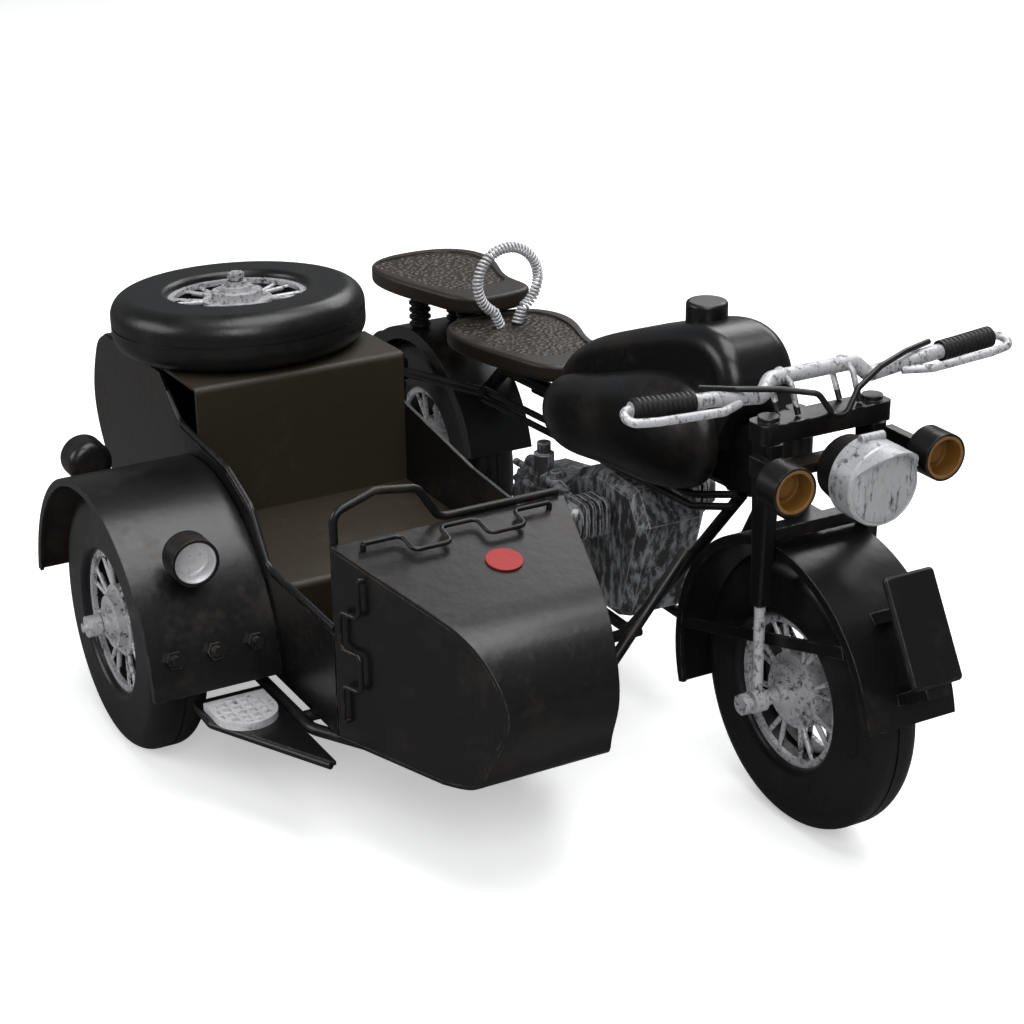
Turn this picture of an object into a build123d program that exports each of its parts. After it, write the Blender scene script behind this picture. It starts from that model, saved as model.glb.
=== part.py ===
"""Tin model of a motorcycle with a sidecar: rolling wheels, turning fork, bolted-on spare wheel.

Axes: +X is the way the motorcycle drives, +Y is its left side, +Z is up. The sidecar stands on
its right. The origin is on the ground, under the middle of the whole model. Millimetres.
"""
import os
from math import cos, radians, sin

from build123d import *

# ---- Driving dimensions ----------------------------------------------------------------------
tyre_radius = 44.0
tyre_width = 19.6
tyre_shoulder = 7.0          # rounding of the tyre's outer corners
rim_radius = 24.0
rim_width = 14.4
rim_wall = 2.2
hub_radius = 12.0
hub_width = 24.0             # over the stepped ends
spoke_radius = 0.85
spoke_lean = 8.5             # degrees each spoke of a pair leans away from the other
spoke_pairs = 8
axle_radius = 1.5
axle_clearance = 0.05        # running fit of a hub on its axle
seat_gap = 0.02              # between pieces that are soldered or pushed together

wheelbase = 242.0
track = 161.0                # motorcycle's middle to the sidecar wheel's middle
side_lead = 90.0             # sidecar wheel ahead of the rear wheel
front_axle_x = 118.6
bike_y = 55.3

sheet = 1.2                  # sheet metal of tub, mudguards and brackets
wire_radius = 1.0
tube_radius = 1.9            # frame tubes

fork_half = 18.5             # fork legs each side of the middle
steer_setback = 12.0         # steering axis behind the front axle
front_guard_gap = 6.0        # tyre to front mudguard
rear_guard_gap = 4.5
side_guard_gap = 4.0
crown_rise = 32.5            # lower fork beam to crown
bar_rise = 13.0              # crown to handlebar
bar_half = 67.0              # half the handlebar's width

tub_offset = 94.0            # motorcycle's middle to the tub's middle
tub_width = 78.0
tub_drop = 7.0               # tub floor below the wheel axles
nose_half = 18.0             # half the nose's width at its tip
nose_length = 67.0           # cowl's rear edge to the nose's tip
bench_height = 31.0          # above the tub floor
cowl_height = 62.0
deck_height = 77.0
deck_slope = 3.0             # degrees, the deck falls to the rear
spare_lift = 2.0             # spare tyre's underside above the deck's line

# ---- Places worked out from them -------------------------------------------------------------
axle_z = tyre_radius
rear_axle_x = front_axle_x - wheelbase
side_axle_x = rear_axle_x + side_lead
side_wheel_y = bike_y - track
tub_y = bike_y - tub_offset
tub_right = tub_y - tub_width / 2
tub_left = tub_y + tub_width / 2
cowl_x = side_axle_x + 98.0
floor_z = axle_z - tub_drop
steer_x = front_axle_x - steer_setback
front_guard_radius = tyre_radius + front_guard_gap
lower_beam_z = axle_z + front_guard_radius + 4.5
crown_z = lower_beam_z + crown_rise
bar_z = crown_z + bar_rise
backbone_z = crown_z - 24.0
rail_z = axle_z - 14.0
front_saddle_z = crown_z - 29.0
rear_saddle_z = crown_z - 21.0


def side_plane(x, y):
    """Plane seen from the right side: its x is +X from x, its y is the height above the ground."""
    return Plane(origin=(x, y, 0), x_dir=(1, 0, 0), z_dir=(0, -1, 0))


def bike(x, y, z):
    """Point measured from the front axle's middle line."""
    return (front_axle_x + x, bike_y + y, z)


def rod(points, radius, bend=0.0):
    """Round rod through the points, with its corners bent to one radius."""
    with BuildPart() as bent:
        with BuildLine() as path:
            if bend:
                FilletPolyline(*points, radius=bend)
            else:
                Polyline(*points)
        wire = path.wires()[0]
        with BuildSketch(Plane(origin=wire @ 0, z_dir=wire % 0)):
            Circle(radius)
        sweep(path=wire)
    return bent.part


def save(part, label):
    """Label a finished piece and write it to its own file."""
    part.label = label
    export_step(part, f"parts/{label}.step")


os.makedirs("parts", exist_ok=True)

# ---- Wheels: one tyre and one spoked wheel, made at the origin with the axle along Y ------------
with BuildPart() as tyre:
    with BuildSketch() as section:
        with Locations(((tyre_radius + rim_radius) / 2, 0)):
            Rectangle(tyre_radius - rim_radius, tyre_width)
        fillet(section.vertices().group_by(Axis.X)[-1], tyre_shoulder)
        fillet(section.vertices().group_by(Axis.X)[0], 2.5)
        with Locations((tyre_radius, 0)):
            Rectangle(0.8, 0.7, mode=Mode.SUBTRACT)
    revolve(axis=Axis.Y)

hub_bore = axle_radius + axle_clearance
hub_face = rim_width / 2 - 1.2
with BuildPart() as wheel:
    with BuildSketch():
        with Locations((rim_radius - seat_gap - rim_wall / 2, 0)):
            Rectangle(rim_wall, rim_width)
        with Locations((rim_radius - rim_wall, 0)):
            Rectangle(rim_wall, 2.0)
    revolve(axis=Axis.Y)
    with BuildSketch():
        with BuildLine():
            Polyline(
                (hub_bore, -hub_width / 2), (3.6, -hub_width / 2), (3.6, -10.4), (5.4, -10.4),
                (5.4, -8.8), (8.8, -8.8), (8.8, -hub_face), (hub_radius, -hub_face),
                (hub_radius, 0),
            )
            Polyline((hub_radius, 0), (hub_bore, 0), (hub_bore, -hub_width / 2))
        make_face()
        mirror(about=Plane.XZ)
    revolve(axis=Axis.Y)
    for face_side in (-1, 1):
        for pair in range(spoke_pairs):
            middle = 360 / spoke_pairs * (pair + 0.5)
            for lean in (-1, 1):
                inner, outer = radians(middle + lean * 2), radians(middle + lean * spoke_lean)
                reach = rim_radius - rim_wall / 2
                root = hub_radius - 1.0
                start = (root * cos(inner), face_side * (hub_face - 0.9), root * sin(inner))
                end = (reach * cos(outer), face_side * (rim_width / 2 - 1.6), reach * sin(outer))
                add(rod([start, end], spoke_radius))

spare_deck_z = floor_z + deck_height
spare_x = cowl_x - 150.0
spare_y = tub_y - 4.0
spare_z = spare_deck_z - (cowl_x - 106.0 - spare_x) * sin(radians(deck_slope)) + tyre_width / 2 + spare_lift
spare_place = Location((spare_x, spare_y, spare_z), (0, -deck_slope, 0))
wheel_places = {
    "front": Location((front_axle_x, bike_y, axle_z)),
    "rear": Location((rear_axle_x, bike_y, axle_z)),
    "sidecar": Location((side_axle_x, side_wheel_y, axle_z)),
    "spare": spare_place * Location((0, 0, 0), (90, 0, 0)),
}
for place_name, place in wheel_places.items():
    save(tyre.part.moved(place), f"{place_name}_tyre")
    save(wheel.part.moved(place), f"{place_name}_wheel")

# ---- Sidecar tub ----------------------------------------------------------------------------
def tub_point(x, height):
    """Point of the tub's outline, x from the cowl's rear edge and height above the floor."""
    return (x, floor_z + height)


deck_back = tub_point(-194, deck_height - 88 * sin(radians(deck_slope)))
back_line = [
    tub_point(-150, 0), tub_point(-176, 4), tub_point(-201, 24),
    tub_point(-210, 46), tub_point(-204, 64), deck_back,
]
with BuildPart() as tub_shell:
    with BuildSketch(side_plane(cowl_x, tub_y)):
        with BuildLine():
            Line(tub_point(0, 0), back_line[0])
            Spline(*back_line, tangents=[(-1, 0), (1, 0.4)])
            Line(back_line[-1], tub_point(-138, deck_height - 32 * sin(radians(deck_slope))))
        trace(line_width=sheet)
    extrude(amount=tub_width / 2 - sheet - seat_gap, both=True)
    # the spare wheel's hub goes through the deck
    with Locations((spare_x, spare_y, spare_deck_z)):
        Cylinder(7.0, 30.0, mode=Mode.SUBTRACT)
save(tub_shell.part, "tub_shell")

right_top = [
    tub_point(-138, deck_height - 32 * sin(radians(deck_slope))), tub_point(-121, 61),
    tub_point(-80, 58), tub_point(-62, 51), tub_point(-50, 35), tub_point(-1, 34), tub_point(-1, 0),
]
left_top = [
    tub_point(-108, deck_height), tub_point(-110, 60), tub_point(-58, 52), tub_point(-1, 48),
    tub_point(-1, 0),
]
tub_sides = {}
for side_name, y, top in (("right", tub_right, right_top), ("left", tub_left - sheet, left_top)):
    with BuildPart() as tub_side:
        with BuildSketch(side_plane(cowl_x, y + sheet)) as outline:
            with BuildLine():
                Line(tub_point(-1, 0), back_line[0])
                Spline(*back_line, tangents=[(-1, 0), (1, 0.4)])
                Line(back_line[-1], top[0])
                Polyline(*top)
            make_face()
        extrude(amount=sheet)
    tub_sides[side_name] = tub_side.part
    save(tub_side.part, f"tub_side_{side_name}")

inside_half = tub_width / 2 - sheet - seat_gap
back_x = -107.0
with BuildPart() as seat_back:
    with BuildSketch(side_plane(cowl_x, tub_y)):
        with BuildLine():
            FilletPolyline(
                tub_point(back_x - 30, deck_height - 31 * sin(radians(deck_slope)) + sheet),
                tub_point(back_x, deck_height + sheet / 2),
                tub_point(back_x, bench_height - sheet / 2),
                radius=1.5,
            )
        trace(line_width=sheet)
    extrude(amount=inside_half, both=True)
save(seat_back.part, "seat_back")

bench_front = -45.0
with BuildPart() as bench_seat:
    with BuildSketch(side_plane(cowl_x, tub_y)):
        with BuildLine():
            FilletPolyline(
                tub_point(back_x + sheet / 2, bench_height), tub_point(bench_front, bench_height),
                tub_point(bench_front, sheet), radius=1.5,
            )
        trace(line_width=sheet)
    extrude(amount=inside_half, both=True)
save(bench_seat.part, "bench_seat")

# The nose narrows to its tip: a wrapped sheet over the top, front and underside, and two flat sides
nose_taper = (tub_width / 2 - nose_half) / nose_length
nose_top = [
    tub_point(42, cowl_height - 9), tub_point(61, 43), tub_point(nose_length, 30),
    tub_point(59, 12), tub_point(42, 1.5),
]
with BuildSketch(Plane.XY) as nose_plan:
    with BuildLine():
        Polyline(
            (cowl_x, tub_right), (cowl_x + nose_length + 5, tub_y - nose_half + 5 * nose_taper),
            (cowl_x + nose_length + 5, tub_y + nose_half - 5 * nose_taper), (cowl_x, tub_left),
            (cowl_x, tub_right),
        )
    make_face()


def nose_line():
    """Middle line of the wrapped sheet, from the cowl's rear edge round to the floor."""
    Line(tub_point(0, cowl_height), nose_top[0])
    Spline(*nose_top, tangents=[(42, -9), (-17, -2.5)])
    Line(nose_top[-1], tub_point(0, 0))


with BuildPart() as nose_cowl:
    with BuildSketch(side_plane(cowl_x, tub_y)):
        with BuildLine():
            nose_line()
        trace(line_width=sheet)
    extrude(amount=tub_width, both=True)
    extrude(nose_plan.sketch, amount=200, mode=Mode.INTERSECT)
save(nose_cowl.part, "nose_cowl")

nose_sides = {}
for side_name, way in (("right", -1), ("left", 1)):
    with BuildPart() as nose_side:
        with BuildSketch(side_plane(cowl_x, tub_y)):
            with BuildLine():
                nose_line()
                Line(tub_point(0, 0), tub_point(0, cowl_height))
            make_face()
        extrude(amount=tub_width, both=True)
        add(nose_cowl.part, mode=Mode.SUBTRACT)
        with BuildSketch(Plane.XY):
            with BuildLine():
                rear_y = tub_y + way * tub_width / 2
                front_y = tub_y + way * (nose_half - 5 * nose_taper)
                Polyline(
                    (cowl_x, rear_y), (cowl_x + nose_length + 5, front_y),
                    (cowl_x + nose_length + 5, front_y - way * sheet * 1.05),
                    (cowl_x, rear_y - way * sheet * 1.05), (cowl_x, rear_y),
                )
            make_face()
        extrude(amount=200, mode=Mode.INTERSECT)
    nose_sides[side_name] = nose_side.part
    save(nose_side.part, f"nose_side_{side_name}")

# Edge wire round the doorway, and the grab rail that stands on the cowl's rear edge
wire_y = tub_right + sheet / 2


def tub_at(x, y, height):
    """Point in space, x from the cowl's rear edge, y from the tub's middle, height from its floor."""
    return (cowl_x + x, tub_y + y, floor_z + height)


edge_half = tub_width / 2 - sheet / 2
top_off = wire_radius + sheet / 2
doorway = [tub_at(x, -edge_half, z - floor_z + top_off) for x, z in right_top[1:-1]]
doorway.insert(0, tub_at(-131, -edge_half, 68.5 + top_off))
rail_x = -wire_radius - 0.3
with BuildPart() as grab_rail:
    add(rod(doorway, wire_radius, 5.0))
    add(rod(
        [tub_at(rail_x, -edge_half + 1, 38), tub_at(rail_x, -edge_half + 1, 72),
         tub_at(rail_x, -24, 76.5), tub_at(rail_x, -10, 74.5), tub_at(rail_x, -3, cowl_height + 1.7),
         tub_at(rail_x, edge_half - 1, cowl_height + 1.7)],
        1.3, 4.5,
    ))
    for neighbour in (tub_sides["right"], seat_back.part, nose_cowl.part):
        add(neighbour, mode=Mode.SUBTRACT)
save(grab_rail.part, "grab_rail")

# Square-wave lashing wires that stand off the cowl on short posts
def lashing_wave(place, swing, pitch, count):
    """Corners of a square wave: place(along, across) gives the point in space."""
    points = []
    for step in range(count):
        across = swing if step % 2 else 0.0
        points += [place(step * pitch, across), place((step + 1) * pitch, across)]
    return points


top_slope = -9.0 / 42.0


def on_cowl(along_y, along_x):
    return tub_at(5.0 + along_x, -31 + along_y, cowl_height + top_slope * (5.0 + along_x) + 2.6)


def on_side(along_z, along_x):
    x = 5.0 + along_x
    return tub_at(x, -tub_width / 2 + nose_taper * x - 2.0, 8.0 + along_z)


with BuildPart() as lashing_rails:
    for place, count, pitch in ((on_cowl, 5, 12.4), (on_side, 4, 12.0)):
        wave = lashing_wave(place, 8.0, pitch, count)
        add(rod(wave, 0.75, 2.2))
        for end in (wave[0], wave[-1]):
            post = (end[0], end[1] + 2.0, end[2]) if place is on_side else (end[0], end[1], end[2] - 2.0)
            add(rod([end, post], 0.9))
    for neighbour in (nose_cowl.part, nose_sides["right"]):
        add(neighbour, mode=Mode.SUBTRACT)
save(lashing_rails.part, "lashing_rails")

with BuildPart() as badge_disc:
    badge_plane = Plane(
        origin=tub_at(24, 5, cowl_height + top_slope * 24 + sheet / 2 + 0.05),
        x_dir=(0, 1, 0), z_dir=(-top_slope, 0, 1),
    )
    with BuildSketch(badge_plane):
        Circle(5.6)
    extrude(amount=0.5)
save(badge_disc.part, "badge_disc")

# ---- Sidecar chassis, mudguard, lamps and step --------------------------------------------------
chassis_z = floor_z - sheet / 2 - tube_radius - 0.05
chassis_right = tub_right - 3.0
rear_cross_x = rear_axle_x + 28.0
front_cross_x = cowl_x - 22.0
cradle_half = 11.0
with BuildPart() as sidecar_frame:
    add(rod(
        [(rear_cross_x, bike_y - cradle_half - tube_radius, chassis_z),
         (rear_cross_x, chassis_right, chassis_z), (cowl_x - 14, chassis_right, chassis_z),
         (cowl_x + 34, tub_y - nose_half + 4, chassis_z), (cowl_x + 34, tub_y + nose_half, chassis_z)],
        tube_radius, 9.0,
    ))
    add(rod(
        [(front_cross_x, chassis_right, chassis_z),
         (front_cross_x, bike_y - cradle_half - tube_radius, chassis_z)], tube_radius,
    ))
    add(rod(
        [(cowl_x + 34, tub_y + nose_half, chassis_z), (cowl_x + 8, tub_left + 6, chassis_z),
         bike(-48, -cradle_half - 2.5, lower_beam_z - 24)], tube_radius, 8.0,
    ))
save(sidecar_frame.part, "sidecar_frame")

guard_radius = tyre_radius + 13.0
guard_z = axle_z + tyre_radius + side_guard_gap - guard_radius
guard_outer = side_wheel_y - tyre_width / 2 - 5.0
guard_inner = tub_right - sheet / 2 - seat_gap
guard_middle = (guard_outer + guard_inner) / 2
guard_half = (guard_inner - guard_outer) / 2
with BuildPart() as sidecar_fender:
    with BuildSketch(side_plane(side_axle_x, guard_middle)):
        with BuildLine():
            CenterArc((0, guard_z), guard_radius, 6, 166)
        trace(line_width=sheet)
    extrude(amount=guard_half, both=True)
    # rolled bead along the outer edge
    with BuildSketch(side_plane(side_axle_x, guard_outer + 1.2)):
        with BuildLine():
            CenterArc((0, guard_z), guard_radius - 1.2, 6, 166)
        trace(line_width=1.6)
    extrude(amount=1.2)
save(sidecar_fender.part, "sidecar_fender")

with BuildPart() as fender_bolts:
    for spot in (-1, 0, 1):
        bolt_z = axle_z + 9.0
        bolt_x = side_axle_x + (guard_radius**2 - (bolt_z - guard_z) ** 2) ** 0.5
        bolt_y = guard_middle + spot * 13.5
        lean = (bolt_z - guard_z) / guard_radius
        along = (1, 0, lean)
        base = Plane(origin=(bolt_x, bolt_y, bolt_z), z_dir=along, x_dir=(0, 1, 0))
        with BuildSketch(base.offset(sheet / 2 + 0.1)):
            RegularPolygon(3.0, 6)
        extrude(amount=2.4)
        with BuildSketch(base.offset(sheet / 2 + 0.1)):
            Circle(1.5)
        extrude(amount=4.0)
save(fender_bolts.part, "fender_bolts")

lamp_radius = 7.7
lamp_y = side_wheel_y + 3.0
with BuildPart() as fender_lamps:
    for turn, facing in ((46, 1), (134, -1)):
        lamp_x = side_axle_x + (guard_radius + 9.0) * cos(radians(turn))
        lamp_z = guard_z + (guard_radius + 9.0) * sin(radians(turn))
        back = Plane(origin=(lamp_x - facing * 4, lamp_y, lamp_z), z_dir=(facing, 0, 0), x_dir=(0, 1, 0))
        with BuildSketch(back):
            Circle(lamp_radius)
        extrude(amount=11.0)
        fillet(edges().filter_by(GeomType.CIRCLE).sort_by_distance(back.origin)[0], 3.0)
        with BuildSketch(back.offset(5.0)):
            Circle(lamp_radius - 1.0)
        extrude(amount=7.0, mode=Mode.SUBTRACT)
        foot = (side_axle_x + (guard_radius + sheet / 2 + 0.05) * cos(radians(turn)), lamp_y,
                guard_z + (guard_radius + sheet / 2 + 0.05) * sin(radians(turn)))
        add(rod([foot, (lamp_x - facing * 1, lamp_y, lamp_z - lamp_radius + 2)], 1.6))
    add(sidecar_fender.part, mode=Mode.SUBTRACT)
save(fender_lamps.part, "fender_lamps")

# Side axle: its bracket tube is fixed to the tub's side, its cap holds the wheel
cap_radius = 3.6
with BuildPart() as sidecar_axle:
    hub_end = side_wheel_y - hub_width / 2 - 0.3
    add(rod([(side_axle_x, tub_right - sheet / 2 - 0.05, axle_z), (side_axle_x, hub_end - 6, axle_z)], axle_radius))
    add(rod([(side_axle_x, tub_right - sheet / 2 - 0.05, axle_z),
             (side_axle_x, side_wheel_y + hub_width / 2 + 0.3, axle_z)], 3.4))
    add(rod([(side_axle_x, hub_end, axle_z), (side_axle_x, hub_end - 4.5, axle_z)], cap_radius))
save(sidecar_axle.part, "sidecar_axle")

step_z = floor_z - 1.0
step_x = side_axle_x + guard_radius + 12.0
step_y = chassis_right - 14.0
with BuildPart() as step_bracket:
    with BuildSketch(Plane.XY.offset(step_z - 3.0)):
        with BuildLine():
            Polyline(
                (step_x - 20, chassis_right - tube_radius), (step_x - 20, step_y - 11),
                (step_x - 6, step_y - 11), (cowl_x + 8, chassis_right - tube_radius - 1),
                (cowl_x + 8, chassis_right - tube_radius), (step_x - 20, chassis_right - tube_radius),
            )
        make_face()
    extrude(amount=sheet)
    add(rod([(step_x - 19, step_y - 10, step_z - 3.4), (step_x - 6, step_y - 10.4, step_z - 3.4),
             (cowl_x + 7, chassis_right - tube_radius - 1.2, step_z - 3.4)], 1.3, 4.0))
save(step_bracket.part, "step_bracket")

with BuildPart() as step_pad:
    with BuildSketch(Plane.XY.offset(step_z - 1.7)):
        with Locations((step_x - 3, step_y)):
            Circle(10.0)
        with Locations((step_x - 8, step_y)):
            Rectangle(10.0, 20.0)
    extrude(amount=2.4)
    with BuildSketch(Plane.XY.offset(step_z - 0.3)) as cells:
        with Locations((step_x - 3, step_y)):
            with GridLocations(3.6, 3.6, 6, 6):
                Rectangle(2.4, 2.4)
        with Locations((step_x - 3.4, step_y)):
            Circle(8.9, mode=Mode.INTERSECT)
    extrude(amount=2.0, mode=Mode.SUBTRACT)
save(step_pad.part, "step_pad")

with BuildPart() as spare_bolt:
    flange_z = -hub_width / 2 - 1.7
    add(rod([(0, 0, flange_z), (0, 0, hub_width / 2 + 3.4)], axle_radius))
    with Locations((0, 0, flange_z)):
        Cylinder(8.0, sheet)
    with BuildSketch(Plane.XY.offset(hub_width / 2 + 0.6)):
        RegularPolygon(3.0, 6)
    extrude(amount=2.4)
save(spare_bolt.part.moved(spare_place), "spare_bolt")

# ---- Motorcycle frame ---------------------------------------------------------------------------
stem_radius = 3.0
stem_clearance = 0.06
head_radius = 5.4
head_low = lower_beam_z + 3.0
head_high = crown_z - 4.6
seat_post_x = rear_axle_x + 60.0
with BuildPart() as head_tube:
    with Locations((steer_x, bike_y, (head_low + head_high) / 2)):
        Cylinder(head_radius, head_high - head_low)
    with BuildSketch(side_plane(front_axle_x, bike_y)):
        with BuildLine():
            Polyline(
                (-17, head_high - 3), (-29.5, backbone_z + 14), (-37.5, backbone_z + 2.4),
                (-48, backbone_z - 2.4), (-36, head_low - 4), (-17, head_low + 1), (-17, head_high - 3),
            )
        make_face()
    extrude(amount=7.0, both=True)
    with Locations((steer_x, bike_y, (head_low + head_high) / 2)):
        Cylinder(stem_radius + stem_clearance, head_high - head_low + 20, mode=Mode.SUBTRACT)
save(head_tube.part, "head_tube")

cradle_front = bike(-86, 0, 0)[0]
cradle_back = rear_axle_x + 62.0
with BuildPart() as down_tubes:
    for side in (-1, 1):
        add(rod(
            [bike(-31, side * 5.0, head_low - 4.2), bike(-57, side * cradle_half, axle_z + 18),
             (cradle_front, bike_y + side * cradle_half, rail_z),
             (cradle_back, bike_y + side * cradle_half, rail_z),
             (rear_axle_x, bike_y + side * 19, rail_z + 2)], tube_radius, 9.0,
        ))
    for neighbour in (head_tube.part, sidecar_frame.part):
        add(neighbour, mode=Mode.SUBTRACT)
save(down_tubes.part, "down_tubes")

rear_guard_radius = tyre_radius + rear_guard_gap


def rear_guard_point(radius, turn):
    """Point over the rear wheel, a radius from its axle and a turn up from straight ahead."""
    return (rear_axle_x + radius * cos(radians(turn)), bike_y, axle_z + radius * sin(radians(turn)))


with BuildPart() as frame_rails:
    add(rod(
        [bike(-42, 0, backbone_z - 10), rear_guard_point(rear_guard_radius + 21.0, 42),
         rear_guard_point(rear_guard_radius + sheet / 2 + 0.05, 42)], 2.6, 12.0,
    ))
    for side in (-1, 1):
        for rise in (0, 4):
            add(rod(
                [bike(-30, side * 8.6, head_low - 3 - rise), bike(-50, side * 10.5, backbone_z - 15 - rise),
                 (seat_post_x - 6, bike_y + side * 10.5, backbone_z - 22 - rise)], 1.2, 8.0,
            ))
    for side in (-1, 1):
        add(rod(
            [(seat_post_x - 4, bike_y + side * 12.5, backbone_z - 22),
             (rear_axle_x, bike_y + side * 19, axle_z + 34)], tube_radius,
        ))
    for neighbour in (head_tube.part, down_tubes.part):
        add(neighbour, mode=Mode.SUBTRACT)
save(frame_rails.part, "frame_rails")

shock_radius = 3.8
shock_y = 19.0
with BuildPart() as plungers:
    for side in (-1, 1):
        with BuildSketch(side_plane(rear_axle_x, bike_y + side * shock_y)):
            with BuildLine():
                Polyline(
                    (0, axle_z - 12), (shock_radius, axle_z - 12), (shock_radius, axle_z + 10),
                    (shock_radius - 0.8, axle_z + 11), (shock_radius - 0.8, axle_z + 30),
                    (shock_radius, axle_z + 31), (shock_radius, axle_z + 38), (0, axle_z + 40),
                    (0, axle_z - 12),
                )
            make_face()
        revolve(axis=Axis((rear_axle_x, bike_y + side * shock_y, 0), (0, 0, 1)))
    with BuildSketch(side_plane(rear_axle_x, bike_y)):
        with Locations((0, axle_z)):
            Circle(axle_radius + seat_gap)
    extrude(amount=40, both=True, mode=Mode.SUBTRACT)
    for neighbour in (down_tubes.part, frame_rails.part):
        add(neighbour, mode=Mode.SUBTRACT)
save(plungers.part, "plungers")


def axle_with_caps(x, half, spacer_end):
    """Plain axle with a spacer and a round cap at each end, along Y through the bike's middle."""
    with BuildPart() as axle:
        add(rod([(x, bike_y - half, axle_z), (x, bike_y + half, axle_z)], axle_radius))
        for way in (-1, 1):
            near = bike_y + way * (hub_width / 2 + 0.3)
            add(rod([(x, near, axle_z), (x, bike_y + way * spacer_end, axle_z)], 2.4))
            add(rod([(x, bike_y + way * (half - 2.4), axle_z), (x, bike_y + way * half, axle_z)], 3.2))
    return axle.part


save(axle_with_caps(rear_axle_x, shock_y + shock_radius + 2.6, shock_y - shock_radius - 0.1), "rear_axle")

rear_guard_half = 13.0
with BuildPart() as rear_fender:
    with BuildSketch(side_plane(rear_axle_x, bike_y)):
        with BuildLine():
            CenterArc((0, axle_z), rear_guard_radius, 14, 172)
        trace(line_width=sheet)
    extrude(amount=rear_guard_half, both=True)
    for side in (-1, 1):
        with BuildSketch(side_plane(rear_axle_x, bike_y + side * (rear_guard_half - sheet / 2))):
            with BuildLine():
                CenterArc((0, axle_z), rear_guard_radius - 2.2, 14, 172)
            trace(line_width=4.4)
        extrude(amount=sheet / 2, both=True)
save(rear_fender.part, "rear_fender")

with BuildPart() as tail_lamp:
    lamp_turn = radians(152)
    with BuildSketch(side_plane(rear_axle_x, bike_y)):
        with BuildLine():
            Polyline(
                (rear_guard_radius * cos(lamp_turn) + 1, axle_z + rear_guard_radius * sin(lamp_turn) + 2.6),
                (rear_guard_radius * cos(lamp_turn) - 8, axle_z + rear_guard_radius * sin(lamp_turn) + 2),
            )
        trace(line_width=2)
    extrude(amount=3, both=True)
    back = Plane(
        origin=(rear_axle_x + rear_guard_radius * cos(lamp_turn) - 5, bike_y,
                axle_z + rear_guard_radius * sin(lamp_turn) + 4),
        z_dir=(-1, 0, 0), x_dir=(0, 1, 0),
    )
    with BuildSketch(back):
        Circle(5.0)
    extrude(amount=8.0)
    fillet(edges().filter_by(GeomType.CIRCLE).group_by(Axis.X)[0], 1.5)
    add(rear_fender.part, mode=Mode.SUBTRACT)
save(tail_lamp.part, "tail_lamp")

# ---- Saddles, their springs, and the coiled grab handle between them -----------------------------
saddle_length = 70.0
saddle_half = 23.5
saddle_thick = 6.5
inset_border = 4.2


def saddle_outline(inset, nose):
    """Egg-shaped saddle outline round its middle, its nose cut short by a length."""
    back, tip, half = -saddle_length / 2 + inset, saddle_length / 2 - inset - nose, saddle_half - inset
    with BuildSketch() as outline:
        with BuildLine():
            Spline(
                (back, 0), (-saddle_length * 0.16, half), (saddle_length * 0.24 - nose * 0.4, half * 0.72), (tip, 0),
                tangents=[(0, 1), (0, -0.6)],
            )
            Spline(
                (tip, 0), (saddle_length * 0.24 - nose * 0.4, -half * 0.72), (-saddle_length * 0.16, -half), (back, 0),
                tangents=[(0, -0.6), (0, 1)],
            )
        make_face()
    return outline.sketch


front_saddle_x = rear_axle_x + 72.0
rear_saddle_x = rear_axle_x + 10.0
saddles = {}
for saddle_name, x, z in (
    ("front_saddle", front_saddle_x, front_saddle_z), ("rear_saddle", rear_saddle_x, rear_saddle_z),
):
    with BuildPart() as saddle:
        with BuildSketch(Plane.XY.offset(z)):
            add(saddle_outline(0.0, 0.0))
        extrude(amount=saddle_thick)
        fillet(edges().group_by(Axis.Z)[-1], 1.4)
        fillet(edges().group_by(Axis.Z)[0], 1.8)
        with BuildSketch(Plane.XY.offset(z + saddle_thick - 0.8)):
            add(saddle_outline(inset_border, 9.0))
        extrude(amount=4.0, mode=Mode.SUBTRACT)
    saddles[saddle_name] = saddle.part.moved(Location((x, bike_y, 0)))
    save(saddles[saddle_name], saddle_name)

spring_radius = 4.2
with BuildPart() as saddle_springs:
    stands = (
        (front_saddle_x - 4, 0, backbone_z - 13.2, front_saddle_z - 0.05),
        (rear_saddle_x - 12, -8, axle_z + rear_guard_radius + 0.7, rear_saddle_z - 0.05),
        (rear_saddle_x - 12, 8, axle_z + rear_guard_radius + 0.7, rear_saddle_z - 0.05),
        (rear_saddle_x + 12, 0, axle_z + rear_guard_radius - 1.0, rear_saddle_z - 0.05),
    )
    for x, y, low, high in stands:
        rings = max(3, round((high - low) / 2.6))
        pitch = (high - low) / rings
        with BuildSketch(side_plane(x, bike_y + y)):
            with BuildLine():
                corners = [(0, low), (spring_radius - 1.2, low)]
                for ring in range(rings):
                    corners += [
                        (spring_radius, low + (ring + 0.35) * pitch), (spring_radius, low + (ring + 0.65) * pitch),
                        (spring_radius - 1.2, low + (ring + 1) * pitch),
                    ]
                Polyline(*corners, (0, high), (0, low))
            make_face()
        revolve(axis=Axis((x, bike_y + y, 0), (0, 0, 1)))
    add(frame_rails.part, mode=Mode.SUBTRACT)
save(saddle_springs.part, "saddle_springs")

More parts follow.
